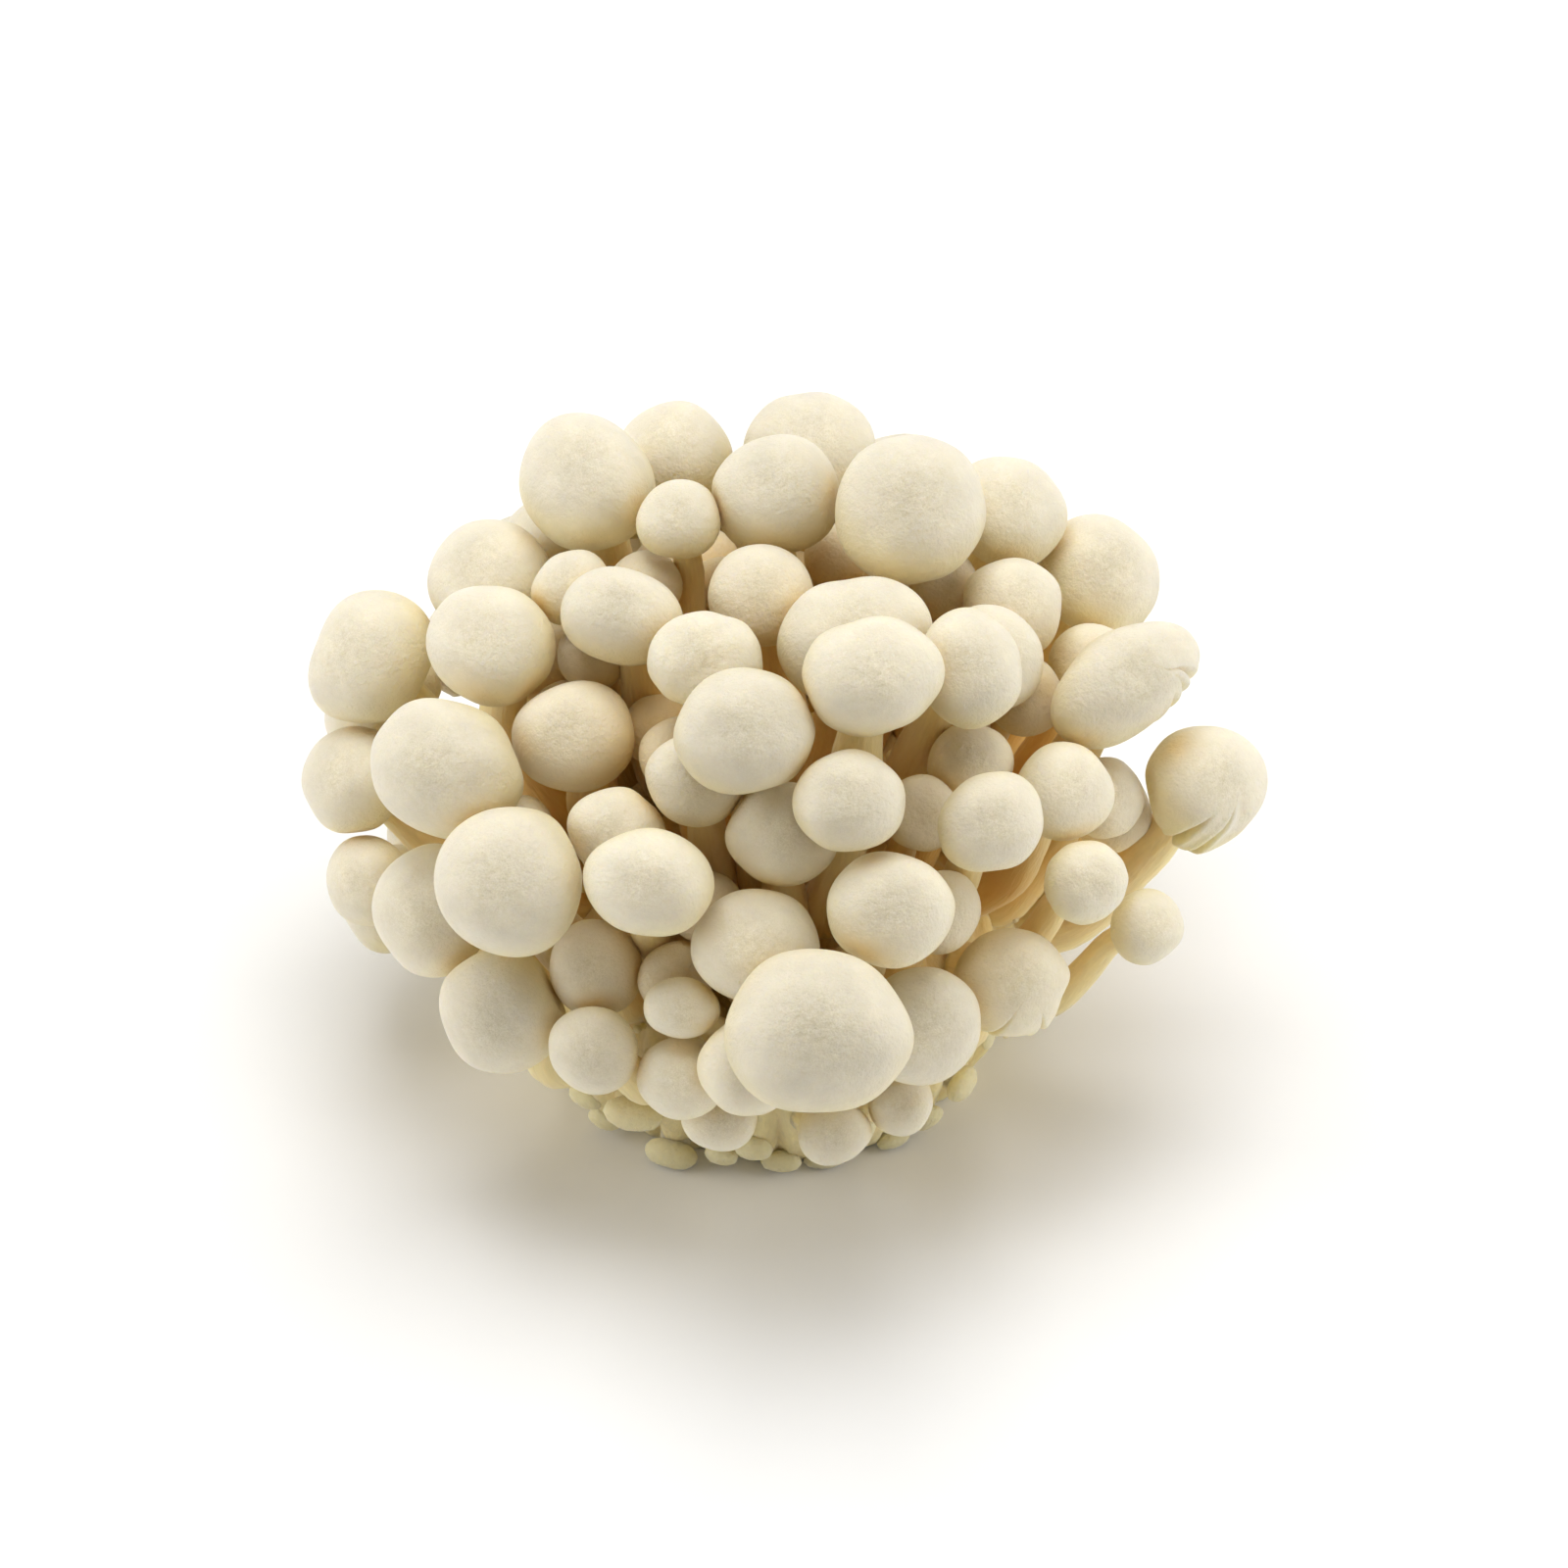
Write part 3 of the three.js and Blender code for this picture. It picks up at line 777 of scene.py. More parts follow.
class Tree(NodeMath):
    """A short way to write a geometry node tree: its inputs, its nodes and their links."""

    def __init__(self, name):
        self.group = bpy.data.node_groups.new(name, "GeometryNodeTree")
        self.group.interface.new_socket("Geometry", in_out="OUTPUT", socket_type="NodeSocketGeometry")
        self.group.interface.new_socket("Geometry", in_out="INPUT", socket_type="NodeSocketGeometry")
        self.inputs = self.group.nodes.new("NodeGroupInput")
        self.sockets = {}

    def input(self, name, kind):
        """Adds a named input and returns the place to read it from."""
        item = self.group.interface.new_socket(name, in_out="INPUT", socket_type=f"NodeSocket{kind}")
        self.sockets[name] = item.identifier
        return self.inputs.outputs[name]

    def add(self, kind, *links, named=None, **settings):
        """Adds a node. Plain values and links go to its inputs in order, or by name."""
        node = self.group.nodes.new(kind)
        for key, value in settings.items():
            setattr(node, key, value)
        for where, value in [*enumerate(links), *(named or {}).items()]:
            socket = node.inputs[where]
            if isinstance(value, bpy.types.NodeSocket):
                self.group.links.new(value, socket)
            else:
                socket.default_value = value
        return node

    def math(self, operation, *values):
        return self.add("ShaderNodeMath", *values, operation=operation).outputs[0]

    def read(self, name, kind="FLOAT"):
        """A named attribute of the points."""
        return self.add("GeometryNodeInputNamedAttribute", name, data_type=kind).outputs[0]

    def join(self, *parts):
        both = self.add("GeometryNodeJoinGeometry")
        for part in parts:
            self.group.links.new(part, both.inputs[0])
        return both.outputs[0]

    def xyz(self, *values):
        return self.add("ShaderNodeCombineXYZ", *values).outputs[0]

    def finish(self, geometry, material):
        realized = self.add("GeometryNodeRealizeInstances", geometry).outputs[0]
        painted = self.add("GeometryNodeSetMaterial", realized, named={"Material": material}).outputs[0]
        output = self.group.nodes.new("NodeGroupOutput")
        self.group.links.new(painted, output.inputs[0])


def run_tree(tree, base, values):
    """The plain mesh that a tree makes of a base mesh. `values` holds the tree's inputs by name."""
    holder = add_object("tree_holder", base)
    modifier = holder.modifiers.new("tree", "NODES")
    modifier.node_group = tree.group
    for name, value in values.items():
        modifier[tree.sockets[name]] = value
    bpy.context.view_layer.update()
    graph = bpy.context.evaluated_depsgraph_get()
    mesh = bpy.data.meshes.new_from_object(holder.evaluated_get(graph))
    bpy.data.objects.remove(holder)
    return mesh


# The shape and spread of the gills, in cap radii but for the shares.
ROOF_BEND = -2.3  # how the hollow's roof falls away towards the margin
GILL_SINK = 0.02  # how far the blades run up into it
GILL_JITTER = 0.22  # how far a blade may stand off its turn, as a share of the space between two
SHORT_START = 0.52  # where the short blades start, between the inner and outer radii
GILL_STEM = 0.4  # how like the stem they are coloured


def gill_tree():
    """Gills under a cap of radius 1: long blades from the stem to the margin, and short ones between."""
    tree = Tree("Gill Fan")
    count = tree.input("Gills", "Int")
    sizes = ("Inner radius", "Outer radius", "Blade depth", "Blade thickness")
    inner, outer, depth, thickness = (tree.input(size, "Float") for size in sizes)
    seed = tree.input("Seed", "Int")
    material = tree.input("Material", "Material")

    def blade(start):
        """A blade along X: a box drawn to the shape of the hollow, from `start` out to the margin."""
        box = tree.add("GeometryNodeMeshCube", (1, 1, 1), 9, 2, 2).outputs[0]
        place = tree.add("GeometryNodeInputPosition").outputs[0]
        x, y, z = tree.add("ShaderNodeSeparateXYZ", place).outputs
        share = tree.plus(x, 0.5)
        out = tree.plus(start, tree.times(share, tree.minus(outer, start)))
        past = tree.math("MAXIMUM", tree.minus(out, ROOF_OUT), 0.0)
        bend = tree.times(tree.times(past, past), ROOF_BEND)
        roof = tree.plus(bend, ROOF_UP + GILL_SINK)
        lower = tree.minus(0.5, z)
        round_end = tree.math("SINE", tree.times(tree.plus(share, 0.06), math.pi / 1.12))
        hang = tree.times(tree.times(depth, lower), round_end)
        side = tree.times(y, thickness)
        return tree.add(
            "GeometryNodeSetPosition", box,
            named={"Position": tree.xyz(out, side, tree.minus(roof, hang))},
        ).outputs[0]

    def fan(blade_mesh, offset):
        spots = tree.add("GeometryNodeMeshCircle", count, 0.001).outputs[0]
        index = tree.add("GeometryNodeInputIndex").outputs[0]
        jitter = tree.add("FunctionNodeRandomValue", named={"ID": index, "Seed": seed}, data_type="FLOAT")
        turn = tree.plus(tree.plus(index, offset), tree.times(jitter.outputs[1], GILL_JITTER))
        angle = tree.times(tree.math("DIVIDE", turn, count), 2 * math.pi)
        return tree.add(
            "GeometryNodeInstanceOnPoints", spots,
            named={"Instance": blade_mesh, "Rotation": tree.xyz(0.0, 0.0, angle)},
        ).outputs[0]

    short_start = tree.times(tree.plus(inner, outer), SHORT_START)
    tree.finish(tree.join(fan(blade(inner), 0.0), fan(blade(short_start), 0.5)), material)
    return tree


def gill_fan(tree, settings, count, material):
    """Points and faces of a fan of gills for a cap of radius 1."""
    values = {
        "Gills": count,
        "Inner radius": settings.inner,
        "Outer radius": settings.outer,
        "Blade depth": settings.depth,
        "Blade thickness": settings.thickness,
        "Seed": settings.seed,
        "Material": material,
    }
    mesh = run_tree(tree, bpy.data.meshes.new("gill_base"), values)
    fan = points_and_faces(mesh)
    bpy.data.meshes.remove(mesh)
    return fan


def gills_of(m, fan):
    """A fan of gills in its place under a mushroom's cap."""
    points, faces = fan
    wide, deep = (size / m.radius for size in m.half_sizes)
    placed = m.place + m.radius * (
        np.outer(points[:, 0] * wide, m.across)
        + np.outer(points[:, 1] * deep, m.second)
        + np.outer(points[:, 2], m.axis)
    )
    # the gills take the margin colour in full: painted warm shade under the cap
    return even_skin(placed, faces, GILL_STEM, 1, points * m.radius / MM)


# ---- materials


class Shader(NodeMath):
    """A short way to write a material's nodes."""

    def __init__(self, name):
        self.material = bpy.data.materials.new(name)
        self.material.use_nodes = True
        self.tree = self.material.node_tree
        self.surface = self.tree.nodes["Principled BSDF"]

    def add(self, kind, named=None, **settings):
        node = self.tree.nodes.new(kind)
        for key, value in settings.items():
            setattr(node, key, value)
        for where, value in (named or {}).items():
            self.put(node.inputs[where], value)
        return node

    def put(self, socket, value):
        if isinstance(value, bpy.types.NodeSocket):
            self.tree.links.new(value, socket)
        else:
            socket.default_value = value

    def finish(self, values):
        """Sets inputs of the surface and gives the material."""
        for name, value in values.items():
            self.put(self.surface.inputs[name], value)
        return self.material

    def attribute(self, name, output="Fac"):
        return self.add("ShaderNodeAttribute", attribute_name=name).outputs[output]

    def noise(self, vector, scale, detail=2.0, roughness=0.5):
        named = {"Vector": vector, "Scale": scale, "Detail": detail, "Roughness": roughness}
        return self.add("ShaderNodeTexNoise", named).outputs[0]

    def math(self, operation, *values, clamp=False):
        node = self.add("ShaderNodeMath", operation=operation, use_clamp=clamp)
        for socket, value in zip(node.inputs, values):
            self.put(socket, value)
        return node.outputs[0]

    def mix(self, share, first, second, blend="MIX"):
        node = self.add("ShaderNodeMix", data_type="RGBA", blend_type=blend)
        for where, value in (("Factor", share), ("A", first), ("B", second)):
            sockets = [s for s in node.inputs if s.name == where and s.enabled]
            self.put(sockets[0], value)
        return next(s for s in node.outputs if s.enabled)

    def bump(self, height, distance, strength, normal=None):
        named = {"Height": height, "Distance": distance, "Strength": strength}
        if normal is not None:
            named["Normal"] = normal
        return self.add("ShaderNodeBump", named).outputs[0]


# How far light spreads under the skin: the share for each of red, green and blue, and the depth.
SCATTER = {"Subsurface Radius": (0.9, 0.76, 0.40), "Subsurface Scale": 3.5 * MM}


def flesh_material(name, flesh, roughness):
    """Smooth mushroom flesh: cream caps with a fine mottled crown, streaked stems, amber where it is deep.
    Painted shade goes in as well: darker round the crown towards the front, warmer low on the caps and under
    them, in the crevices where caps press, and deep between the mushrooms along with the stems' own amber.
    """
    s = Shader(name)
    grain = s.attribute("grain", "Vector")
    values = ("crown", "stem", "depth", "bruise", "tone", "margin", "crevice")
    crown, stem, depth, bruise, tone, margin, crevice = (s.attribute(value) for value in values)

    broad = s.noise(grain, 0.28, 3.0)
    cells = s.noise(grain, 1.2, 3.0, 0.65)
    fine = s.noise(grain, 5.5, 2.0, 0.6)
    pits = s.add("ShaderNodeTexVoronoi", {"Vector": grain, "Scale": 2.6, "Randomness": 1.0}).outputs[0]

    # the crown's patch is made of small watery flecks that thin out towards the margin; its darker colour
    # where it leans to the front is painted shade
    flecks = s.plus(s.times(cells, 1.4), s.times(fine, 1.6))
    patch = s.times(crown, s.minus(flecks, 1.0, clamp=True))
    # painted warm shade: yellower and darker low on a cap's side and under it
    margin_shaded = s.mix(s.times(margin, 0.85), tuple(flesh.cream), tuple(flesh.margin))
    skin = s.mix(patch, margin_shaded, tuple(flesh.crown))
    # painted shade in the crevices where caps press together
    pressed = s.mix(s.times(crevice, 0.75), skin, tuple(flesh.crevice))
    warm = s.mix(s.times(stem, 0.9), pressed, tuple(flesh.stem))
    uneven = s.plus(s.times(s.minus(broad, 0.5), 0.24), 1.0)
    uneven = s.plus(uneven, s.times(tone, 0.05))
    streaks = s.times(s.minus(cells, 0.5), s.plus(s.times(stem, 0.34), 0.06))
    level = s.plus(uneven, streaks)
    greys = s.add("ShaderNodeCombineXYZ")
    for socket in greys.inputs:
        s.put(socket, level)
    shaded = s.mix(1.0, warm, greys.outputs[0], "MULTIPLY")
    # deep between the mushrooms: the stems' own amber and painted warm shade together
    deepness = s.times(depth, s.plus(s.times(broad, 0.5), 0.75), clamp=True)
    deep_shaded = s.mix(deepness, shaded, tuple(flesh.deep))
    hurt = s.times(bruise, s.plus(s.times(cells, 1.1), 0.1), clamp=True)
    low = s.bump(cells, 0.26 * MM, 0.9)
    dimples = s.bump(pits, 0.07 * MM, 0.6, low)
    return s.finish({
        "Base Color": s.mix(hurt, deep_shaded, tuple(flesh.bruise)),
        "Roughness": s.plus(s.times(fine, 0.16), roughness - 0.08),
        "IOR": 1.38,
        "Subsurface Weight": flesh.translucence,
        **SCATTER,
        "Sheen Weight": 0.22,
        "Sheen Roughness": 0.4,
        "Sheen Tint": (1.0, 0.93, 0.80, 1),
        "Normal": s.bump(fine, 0.045 * MM, 0.7, dimples),
    })


CUT_PALE = (0.84, 0.74, 0.56, 1)
CUT_TAN = (0.74, 0.60, 0.39, 1)
DRIED = (0.40, 0.245, 0.11, 1)


def cut_material(name, flesh):
    """The foot's cut face: pale cells of sliced stems with darker skins between them, drying at the edge."""
    s = Shader(name)
    grain = s.attribute("grain", "Vector")
    edge = s.attribute("crown")
    wobble = s.add("ShaderNodeTexNoise", {"Vector": grain, "Scale": 0.5, "Detail": 2.0}).outputs[1]
    bent = s.add("ShaderNodeVectorMath", {0: grain, 1: wobble}, operation="ADD").outputs[0]
    edges = s.add("ShaderNodeTexVoronoi", {"Vector": bent, "Scale": 0.24}, feature="DISTANCE_TO_EDGE")
    cells = edges.outputs[0]
    fibre = s.noise(grain, 2.2, 3.0, 0.6)
    line = s.minus(1.0, s.times(cells, 6.0, clamp=True))
    pale = s.mix(fibre, CUT_PALE, CUT_TAN)
    lined = s.mix(s.times(line, 0.55), pale, tuple(flesh.bruise))
    dried = s.times(edge, s.plus(fibre, 0.2), clamp=True)
    low = s.bump(cells, 0.3 * MM, 0.7)
    return s.finish({
        "Base Color": s.mix(dried, lined, DRIED),
        "Roughness": 0.72,
        "Subsurface Weight": 0.2,
        **SCATTER,
        "Normal": s.bump(fibre, 0.08 * MM, 0.6, low),
    })


def plain_material(name, color, roughness):
    return Shader(name).finish({"Base Color": color, "Roughness": roughness})


# ---- the foot and its buds


# The stems fused into the foot's side, and the flesh between them.
RIB_POINTS = 12
RIB_STEPS = 30
LOW_ROOT = 27 * MM  # stems rooted lower than this run right down to the cut
RIB_START = 0.06  # how far over its root a rib starts, in radians
RIB_BLEND = 0.45 * MM
RIB_MOST = 0.7 * MM  # the most that a rib stands out of the foot's ellipsoid
ROUGH_SIZE = 2.6 * MM
ROUGH_HEIGHT = 0.28  # in millimetres
FADE_HEIGHT = 3 * MM  # the ribs grow fainter from this height down to the cut
FOOT_GRAIN = np.array([1.0, 1.0, 0.35])

# The cut: the height and overhang of its edge, how hollow it is, and where it starts to dry.
EDGE_HEIGHT = 0.5 * MM
EDGE_OUT = 0.35  # in millimetres
DISH = 0.25 * MM
DISH_SIZE = 5 * MM
DISH_SEED = 3
DRIES_FROM = 0.86


def ribs_for(mushrooms, rng):
    """The stems that run down the foot's side, fused into it: points down each one, with its radii."""
    ribs = []
    for m in mushrooms:
        turn, latitude = turn_and_latitude(m.line[0])
        low_root = m.line[0][2] < LOW_ROOT
        stop = CUT_LATITUDE - 0.05 if low_root else latitude - rng.uniform(0.3, 0.6)
        way_down = np.linspace(latitude + RIB_START, stop, RIB_POINTS)
        drift = rng.normal(0, 0.05)
        turns = turn + drift * np.linspace(0, 1, RIB_POINTS) ** 2
        swell = np.linspace(1.05, 1.45 if low_root else 0.6, RIB_POINTS)
        ribs.append((on_foot(turns, way_down), m.widths[0] * swell * rng.uniform(0.95, 1.2)))
    return ribs


def rib_height(points, ribs, softness):
    """How high the fused stems stand out of the foot at each point."""
    total = np.ones(len(points))
    for centres, radii in ribs:
        steps = np.linspace(0, len(centres) - 1, RIB_STEPS)
        index = np.arange(len(centres))
        line = np.column_stack([np.interp(steps, index, centres[:, k]) for k in range(3)])
        widths = np.interp(steps, index, radii)
        best = np.full(len(points), -1.0)
        for centre, width in zip(line, widths):
            distance = np.linalg.norm(points - centre, axis=1) / width
            best = np.maximum(best, width * (1 - distance**2))
        total += np.exp(np.clip(best, 0, None) / softness) - 1
    return softness * np.log(total)


def grow_foot(mushrooms, settings):
    """Skins of the foot: its side and top, and its cut face."""
    rng = np.random.default_rng(settings.seed)
    sides = settings.sides
    turns = np.linspace(0, 2 * math.pi, sides, endpoint=False)
    latitudes = np.linspace(CUT_LATITUDE, math.pi / 2, settings.rows, endpoint=False)
    grid_turns = np.tile(turns, settings.rows)
    grid_latitudes = np.repeat(latitudes, sides)
    points = on_foot(grid_turns, grid_latitudes)
    normals = foot_normal(points)
    height = rib_height(points, ribs_for(mushrooms, rng), RIB_BLEND)
    height = np.minimum(height, settings.rib_sink + RIB_MOST)
    rough = soft_noise(points, ROUGH_SIZE, settings.seed, 3) * ROUGH_HEIGHT * MM
    fade = smooth_step(-2 * MM, FADE_HEIGHT, points[:, 2])
    lift = (height - settings.rib_sink + rough) * (0.45 + 0.55 * fade)
    points = points + normals * lift[:, None]
    cut_row = points[:sides].copy()
    cut_row[:, 2] = 0.0
    edge = cut_row + np.array([0, 0, EDGE_HEIGHT]) + unit_rows(cut_row) * EDGE_OUT * MM
    points[:sides] = edge
    shares = np.linspace(0, 1, settings.cut_rows + 1)[1:]
    face = np.vstack([cut_row * share for share in shares])
    dish = DISH * (1 + soft_noise(face, DISH_SIZE, DISH_SEED)) * (1 - np.repeat(shares, sides) ** 6)
    face[:, 2] = np.clip(dish, 0, None)
    crown_point = FOOT_CENTRE + FOOT_HALF_SIZE[2] * UP - settings.rib_sink * UP
    middle = np.array([[0.0, 0.0, DISH]])
    every = np.vstack([middle, face, points, crown_point[None]])
    rows = settings.cut_rows + settings.rows
    dried = np.zeros(len(every))
    dried[1 : 1 + len(face)] = np.repeat(smooth_step(DRIES_FROM, 1.0, shares), sides)
    grain = every / MM * FOOT_GRAIN
    return even_skin(every, ring_faces(rows, sides), 1, 1, grain, dried), len(face)


# Flat little caps low on the foot's front: direction round the foot and latitude (degrees), width in
# millimetres, and how tall each is over its width, seen from the front.
FRONT_PINS = [
    (226, -18, 4.6, 0.70),
    (228, -26, 4.6, 0.65),
    (239, -14, 7.2, 0.60),
    (247, -27, 6.6, 0.55),
    (260, -25, 4.0, 1.10),
    (268, -20, 4.6, 0.85),
    (274, -30, 4.8, 0.60),
    (285, -30, 4.8, 0.65),
    (281, -10, 5.4, 0.75),
    (290, -16, 4.6, 1.40),
    (302, -29, 4.4, 0.65),
    (311, -25, 4.4, 1.00),
    (316, -17, 5.0, 0.85),
    (324, -7, 2.6, 1.40),
]
PIN_HEIGHT = 0.62  # how flat the front pins lie, as a share of a bud's height
PIN_SINK = 0.42  # how far their roots run into the foot, in bud widths
PLEATS_SHOW = -0.25  # the front, where only small buds leave the pleated flesh in sight
SMALL_BUD = 0.5
BUD_SIZES = [0.45, 0.7, 1.0, 1.5]  # in bud widths, with the share of each
BUD_SHARES = [0.34, 0.33, 0.23, 0.10]
LOWEST_BUD = -0.42  # the sine of the lowest latitude that a bud is tried at
PIN_RISE, BUD_RISE = 0.1, 0.35  # how much they turn up from the foot's normal


# The pin-sized buds.
BUD_LEAN = 0.3  # how far it may lean, in radians
# the margin share brings the margin's painted warm shade onto the buds
BUD_STEM, BUD_MARGIN = 0.35, 0.8  # how like a stem and a cap's margin it is coloured
BUD_LUMP_SIZE = 1.2 * MM
BUD_LUMP_SEED = 4


def bud_tree():
    """Buds of width 1 on a cloud of points: a round cap on a short stalk, turned along each point's way."""
    tree = Tree("Pin Buds")
    width = tree.input("Bud width", "Float")
    seed = tree.input("Seed", "Int")
    material = tree.input("Material", "Material")
    cap = tree.add("GeometryNodeMeshUVSphere", 14, 9, 0.5).outputs[0]
    cap = tree.add("GeometryNodeTransform", cap, named={
        "Translation": (0, 0, 1.1), "Scale": (1, 1, 0.88),
    }).outputs[0]
    stalk = tree.add("GeometryNodeMeshCone", named={
        "Vertices": 10, "Side Segments": 3, "Radius Top": 0.26, "Radius Bottom": 0.42, "Depth": 1.7,
    }).outputs[0]
    stalk = tree.add("GeometryNodeTransform", stalk, named={"Translation": (0, 0, -0.75)}).outputs[0]
    bud = tree.join(cap, stalk)
    way = tree.read("way", "FLOAT_VECTOR")
    turned = tree.add("FunctionNodeAlignRotationToVector", named={"Vector": way}, axis="Z").outputs[0]
    lean = tree.add("FunctionNodeRandomValue", named={
        "Min": (-BUD_LEAN, -BUD_LEAN, 0.0), "Max": (BUD_LEAN, BUD_LEAN, 0.0), "Seed": seed,
    }, data_type="FLOAT_VECTOR").outputs[0]
    lean_x, lean_y, _ = tree.add("ShaderNodeSeparateXYZ", lean).outputs
    leaning = tree.add(
        "FunctionNodeRotateRotation", turned, tree.xyz(lean_x, lean_y, tree.read("spin")),
        rotation_space="LOCAL",
    ).outputs[0]
    scale = tree.times(tree.read("size"), width)
    scales = tree.xyz(scale, *(tree.times(scale, tree.read(name)) for name in ("tall", "high")))
    placed = tree.add("GeometryNodeInstanceOnPoints", tree.inputs.outputs["Geometry"], named={
        "Instance": bud, "Rotation": leaning, "Scale": scales,
    }).outputs[0]
    tree.finish(placed, material)
    return tree


def bud_places(mushrooms, settings):
    """Where buds stand on the foot: the front pins, then random ones clear of every stem and cap and of
    each other, and only small ones where the pleats show. Gives for each its place, way, width, height
    over width, and turn about its way."""
    rng = np.random.default_rng(settings.seed + 1)
    stems = []
    for m in mushrooms:
        line, shares = smooth_line(m.line, 9)
        stems.append(np.column_stack([line, along_stem(shares, m.widths)]))
        stems.append(np.append(m.middle, m.radius)[None])
    stems = np.vstack(stems)
    kept = []
    for turn, latitude, width, tall in FRONT_PINS:
        ground = on_foot(np.radians(turn), np.radians(latitude))
        way = foot_normal(ground)
        size = width * MM / settings.bud_width
        kept.append((ground + way * settings.bud_width * size * 0.4, ground, way, size, tall))
    for _ in range(settings.buds):
        turn = rng.uniform(0, 2 * math.pi)
        latitude = math.asin(rng.uniform(LOWEST_BUD, 1.0))
        size = rng.choice(BUD_SIZES, p=BUD_SHARES)
        ground = on_foot(np.array(turn), np.array(latitude))
        way = foot_normal(ground)
        if way[1] < PLEATS_SHOW and size > SMALL_BUD:
            continue
        head = ground + way * settings.bud_width * size
        room = np.linalg.norm(stems[:, :3] - head, axis=1) - stems[:, 3]
        half = settings.bud_width * 0.5
        near = [np.linalg.norm(head - other[0]) - half * (size + other[3]) for other in kept]
        low = head[2] - settings.bud_width * size * 0.6
        if room.min() > settings.bud_width * size * 0.5 and min(near, default=1) > 0 and low > 0.3 * MM:
            kept.append((head, ground, way, size, 1.0))
    pins = len(FRONT_PINS)
    points = np.array([
        ground - way * settings.bud_width * size * PIN_SINK * (i < pins)
        for i, (_, ground, way, size, _) in enumerate(kept)
    ])
    ways = np.array([
        unit(way + (BUD_RISE if i >= pins else PIN_RISE) * UP) for i, (_, _, way, _, _) in enumerate(kept)
    ])
    sizes = np.array([size for *_, size, _ in kept])
    talls = np.array([tall for *_, tall in kept])
    return points, ways, sizes, talls, np.arctan2(ways[:, 1], ways[:, 0]) + math.pi / 2


# ---- operators


def read_cluster():
    """Every mushroom: the ones with solids of their own, then the sprouts of the foot."""
    names = sorted(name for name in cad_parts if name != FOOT)
    return [read_mushroom(name, FIRST_SEED + SEED_STEP * i) for i, name in enumerate(names)], read_sprouts()


STEM_ROWS = 22
SPROUT_STEM_ROWS = 14


class BEECH_OT_mushrooms(bpy.types.Operator):
    """Grow each mushroom in fine detail round its solid, with gills under its cap"""

    bl_idname = "beech.mushrooms"
    bl_label = "Grow Mushrooms"

    def execute(self, context):
        scene = context.scene
        flesh, gills, settings = scene.beech_flesh, scene.beech_gills, scene.beech_mushrooms
        own, sprouts = read_cluster()
        material = flesh_material("mushroom_flesh", flesh, 0.5)
        fan = gill_fan(gill_tree(), gills, gills.count, material)
        rng = np.random.default_rng(TONE_SEED)
        for m in own:
            skin = grow_mushroom(m, own + sprouts, settings, settings.sides, STEM_ROWS)
            joined = join_skins([skin, gills_of(m, fan)])
            add_piece(f"{m.name}_flesh", joined, material, FLESH_SLOT, m.name, tone=rng.uniform(-1, 1))
        return {"FINISHED"}


class BEECH_OT_sprouts(bpy.types.Operator):
    """Grow the small mushrooms that are joined to the foot"""

    bl_idname = "beech.sprouts"
    bl_label = "Grow Sprouts"

    def execute(self, context):
        scene = context.scene
        flesh, gills, settings = scene.beech_flesh, scene.beech_gills, scene.beech_mushrooms
        own, sprouts = read_cluster()
        if not sprouts:
            raise RuntimeError("the foot's solid has no sprouts")
        material = flesh_material("sprout_flesh", flesh, 0.52)
        fan = gill_fan(gill_tree(), gills, gills.sprout_count, material)
        skins = []
        for m in sprouts:
            skins.append(grow_mushroom(m, own + sprouts, settings, settings.sprout_sides, SPROUT_STEM_ROWS))
            skins.append(gills_of(m, fan))
        add_piece("sprouts", join_skins(skins), material, FOOT_SLOT, FOOT)
        return {"FINISHED"}


class BEECH_OT_foot(bpy.types.Operator):
    """Grow the foot of fused stems with its cut face, and the pin-sized buds on it"""

    bl_idname = "beech.foot"
    bl_label = "Grow Foot"

    def execute(self, context):
        flesh, settings = context.scene.beech_flesh, context.scene.beech_foot
        own, sprouts = read_cluster()
        material = flesh_material("foot_flesh", flesh, 0.6)
        skin, face_points = grow_foot(own + sprouts, settings)
        foot = add_piece("foot_body", skin, material, FOOT_SLOT, FOOT)
        foot.data.materials.append(cut_material("foot_cut", flesh))
        for polygon in foot.data.polygons:
            if max(polygon.vertices) <= face_points:
                polygon.material_index = 1
        self.add_buds(own + sprouts, settings, material)
        return {"FINISHED"}

    def add_buds(self, mushrooms, settings, material):
        points, ways, sizes, talls, spins = bud_places(mushrooms, settings)
        cloud = bpy.data.meshes.new("bud_cloud")
        cloud.from_pydata(points.tolist(), [], [])
        highs = np.where(np.arange(len(points)) < len(FRONT_PINS), PIN_HEIGHT, 1.0)
        values = {"way": ways, "size": sizes, "tall": talls, "high": highs, "spin": spins}
        for name, value in values.items():
            set_attribute(cloud, name, value)
        values = {"Bud width": settings.bud_width, "Seed": settings.seed, "Material": material}
        mesh = run_tree(bud_tree(), cloud, values)
        places, faces = points_and_faces(mesh)
        lumps = soft_noise(places, BUD_LUMP_SIZE, BUD_LUMP_SEED)
        places += foot_normal(places) * (lumps * 0.06 * MM)[:, None]
        places[:, 2] = np.maximum(places[:, 2], LOWEST)
        skin = even_skin(places, faces, BUD_STEM, BUD_MARGIN, places / MM)
        add_piece("pin_buds", skin, material, FOOT_SLOT, FOOT)


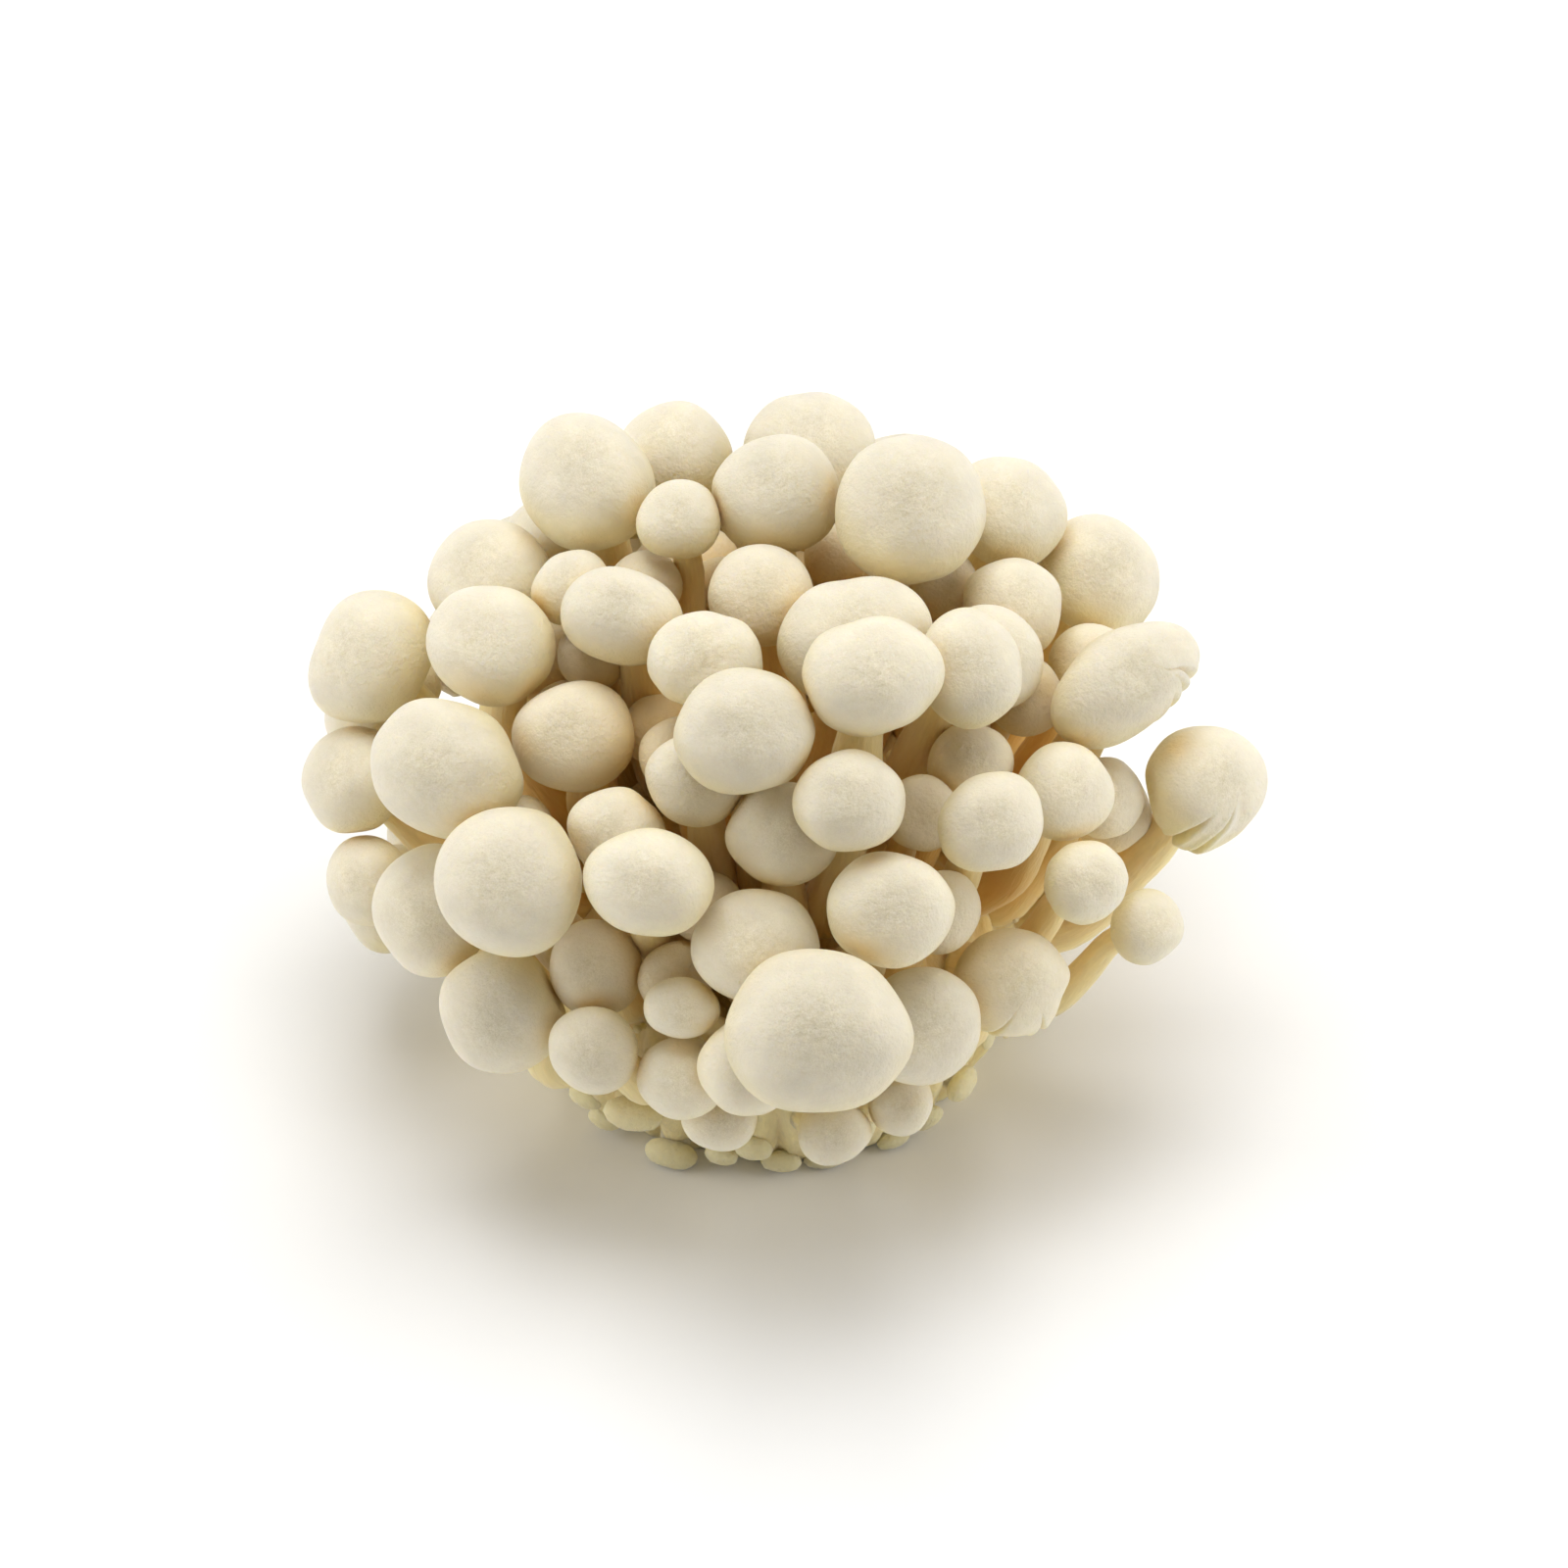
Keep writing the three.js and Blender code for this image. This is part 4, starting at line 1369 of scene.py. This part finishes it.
# The softboxes: name, the setting that holds its power, width and place (metres).
SOFTBOXES = [
    ("key", "key", 0.9, (0.0, 0.12, 1.15)),
    ("back", "back", 0.6, (0.10, 1.00, 0.50)),
    ("left_fill", "fill", 0.7, (-1.0, -0.05, 0.38)),
    ("right_fill", "fill", 0.7, (1.0, -0.05, 0.38)),
]
FLOOR_HALF = 3.0
FLOOR_COLOUR = (0.95, 0.95, 0.945, 1)
WORLD_COLOUR = (1.0, 0.985, 0.96, 1)
SENSOR_WIDTH = 36  # millimetres
NEAREST_SEEN = 0.01


class BEECH_OT_stage(bpy.types.Operator):
    """Set the pale floor, the softboxes and the camera"""

    bl_idname = "beech.stage"
    bl_label = "Set Stage"

    def execute(self, context):
        scene, settings = context.scene, context.scene.beech_stage
        self.add_floor()
        centre = (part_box(FOOT)[0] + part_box(FOOT)[1]) / 2
        for name, source, size, place in SOFTBOXES:
            self.add_softbox(name, getattr(settings, source), size, Vector(place), centre)
        world = bpy.data.worlds.new("studio")
        world.use_nodes = True
        background = world.node_tree.nodes["Background"]
        background.inputs["Color"].default_value = WORLD_COLOUR
        background.inputs["Strength"].default_value = settings.world
        scene.world = world
        scene.view_settings.view_transform = "Standard"
        self.add_camera(scene, settings)
        return {"FINISHED"}

    def add_floor(self):
        corners = [(x * FLOOR_HALF, y * FLOOR_HALF, 0) for x, y in ((-1, -1), (1, -1), (1, 1), (-1, 1))]
        mesh = bpy.data.meshes.new("floor")
        mesh.from_pydata(corners, [], [(0, 1, 2, 3)])
        mesh.materials.append(plain_material("pale_floor", FLOOR_COLOUR, 0.9))
        floor = add_object("floor", mesh)

    def add_softbox(self, name, power, size, place, target):
        light = bpy.data.lights.new(name, "AREA")
        light.energy = power
        light.size = size
        lamp = add_object(name, light)
        lamp.location = place
        lamp.rotation_euler = (target - place).to_track_quat("-Z", "Y").to_euler()

    def add_camera(self, scene, settings):
        camera = add_object("camera", bpy.data.cameras.new("camera"))
        away = Vector((0, -math.cos(settings.elevation), math.sin(settings.elevation)))
        camera.location = Vector(settings.aim) + away * settings.distance
        camera.rotation_euler = (-away).to_track_quat("-Z", "Y").to_euler()
        camera.data.lens = settings.lens
        camera.data.sensor_width = SENSOR_WIDTH
        camera.data.clip_start = NEAREST_SEEN
        scene.camera = camera


class BEECH_PT_panel(bpy.types.Panel):
    """Sizes, colours and steps of the cluster"""

    bl_label = "Beech Mushrooms"
    bl_idname = "BEECH_PT_panel"
    bl_space_type = "VIEW_3D"
    bl_region_type = "UI"
    bl_category = "Beech Mushrooms"

    def draw(self, context):
        for operator, group in STEPS:
            box = self.layout.box()
            settings = getattr(context.scene, group)
            for name in settings.bl_rna.properties.keys():
                if name not in ("rna_type", "name"):
                    box.prop(settings, name)
            box.operator(operator.bl_idname)


GROUPS = {
    "beech_flesh": FleshSettings,
    "beech_gills": GillSettings,
    "beech_mushrooms": MushroomSettings,
    "beech_foot": FootSettings,
    "beech_stage": StageSettings,
}
STEPS = [
    (BEECH_OT_mushrooms, "beech_mushrooms"),
    (BEECH_OT_sprouts, "beech_gills"),
    (BEECH_OT_foot, "beech_foot"),
    (BEECH_OT_stage, "beech_stage"),
]
CLASSES = [*GROUPS.values(), *(operator for operator, _ in STEPS), BEECH_PT_panel]


def register():
    for cls in CLASSES:
        bpy.utils.register_class(cls)
    for name, group in GROUPS.items():
        setattr(bpy.types.Scene, name, PointerProperty(type=group))


def unregister():
    for name in GROUPS:
        delattr(bpy.types.Scene, name)
    for cls in reversed(CLASSES):
        bpy.utils.unregister_class(cls)


def main():
    register()
    bpy.ops.beech.mushrooms()
    bpy.ops.beech.sprouts()
    bpy.ops.beech.foot()
    bpy.ops.beech.stage()


if __name__ == "__main__":
    main()
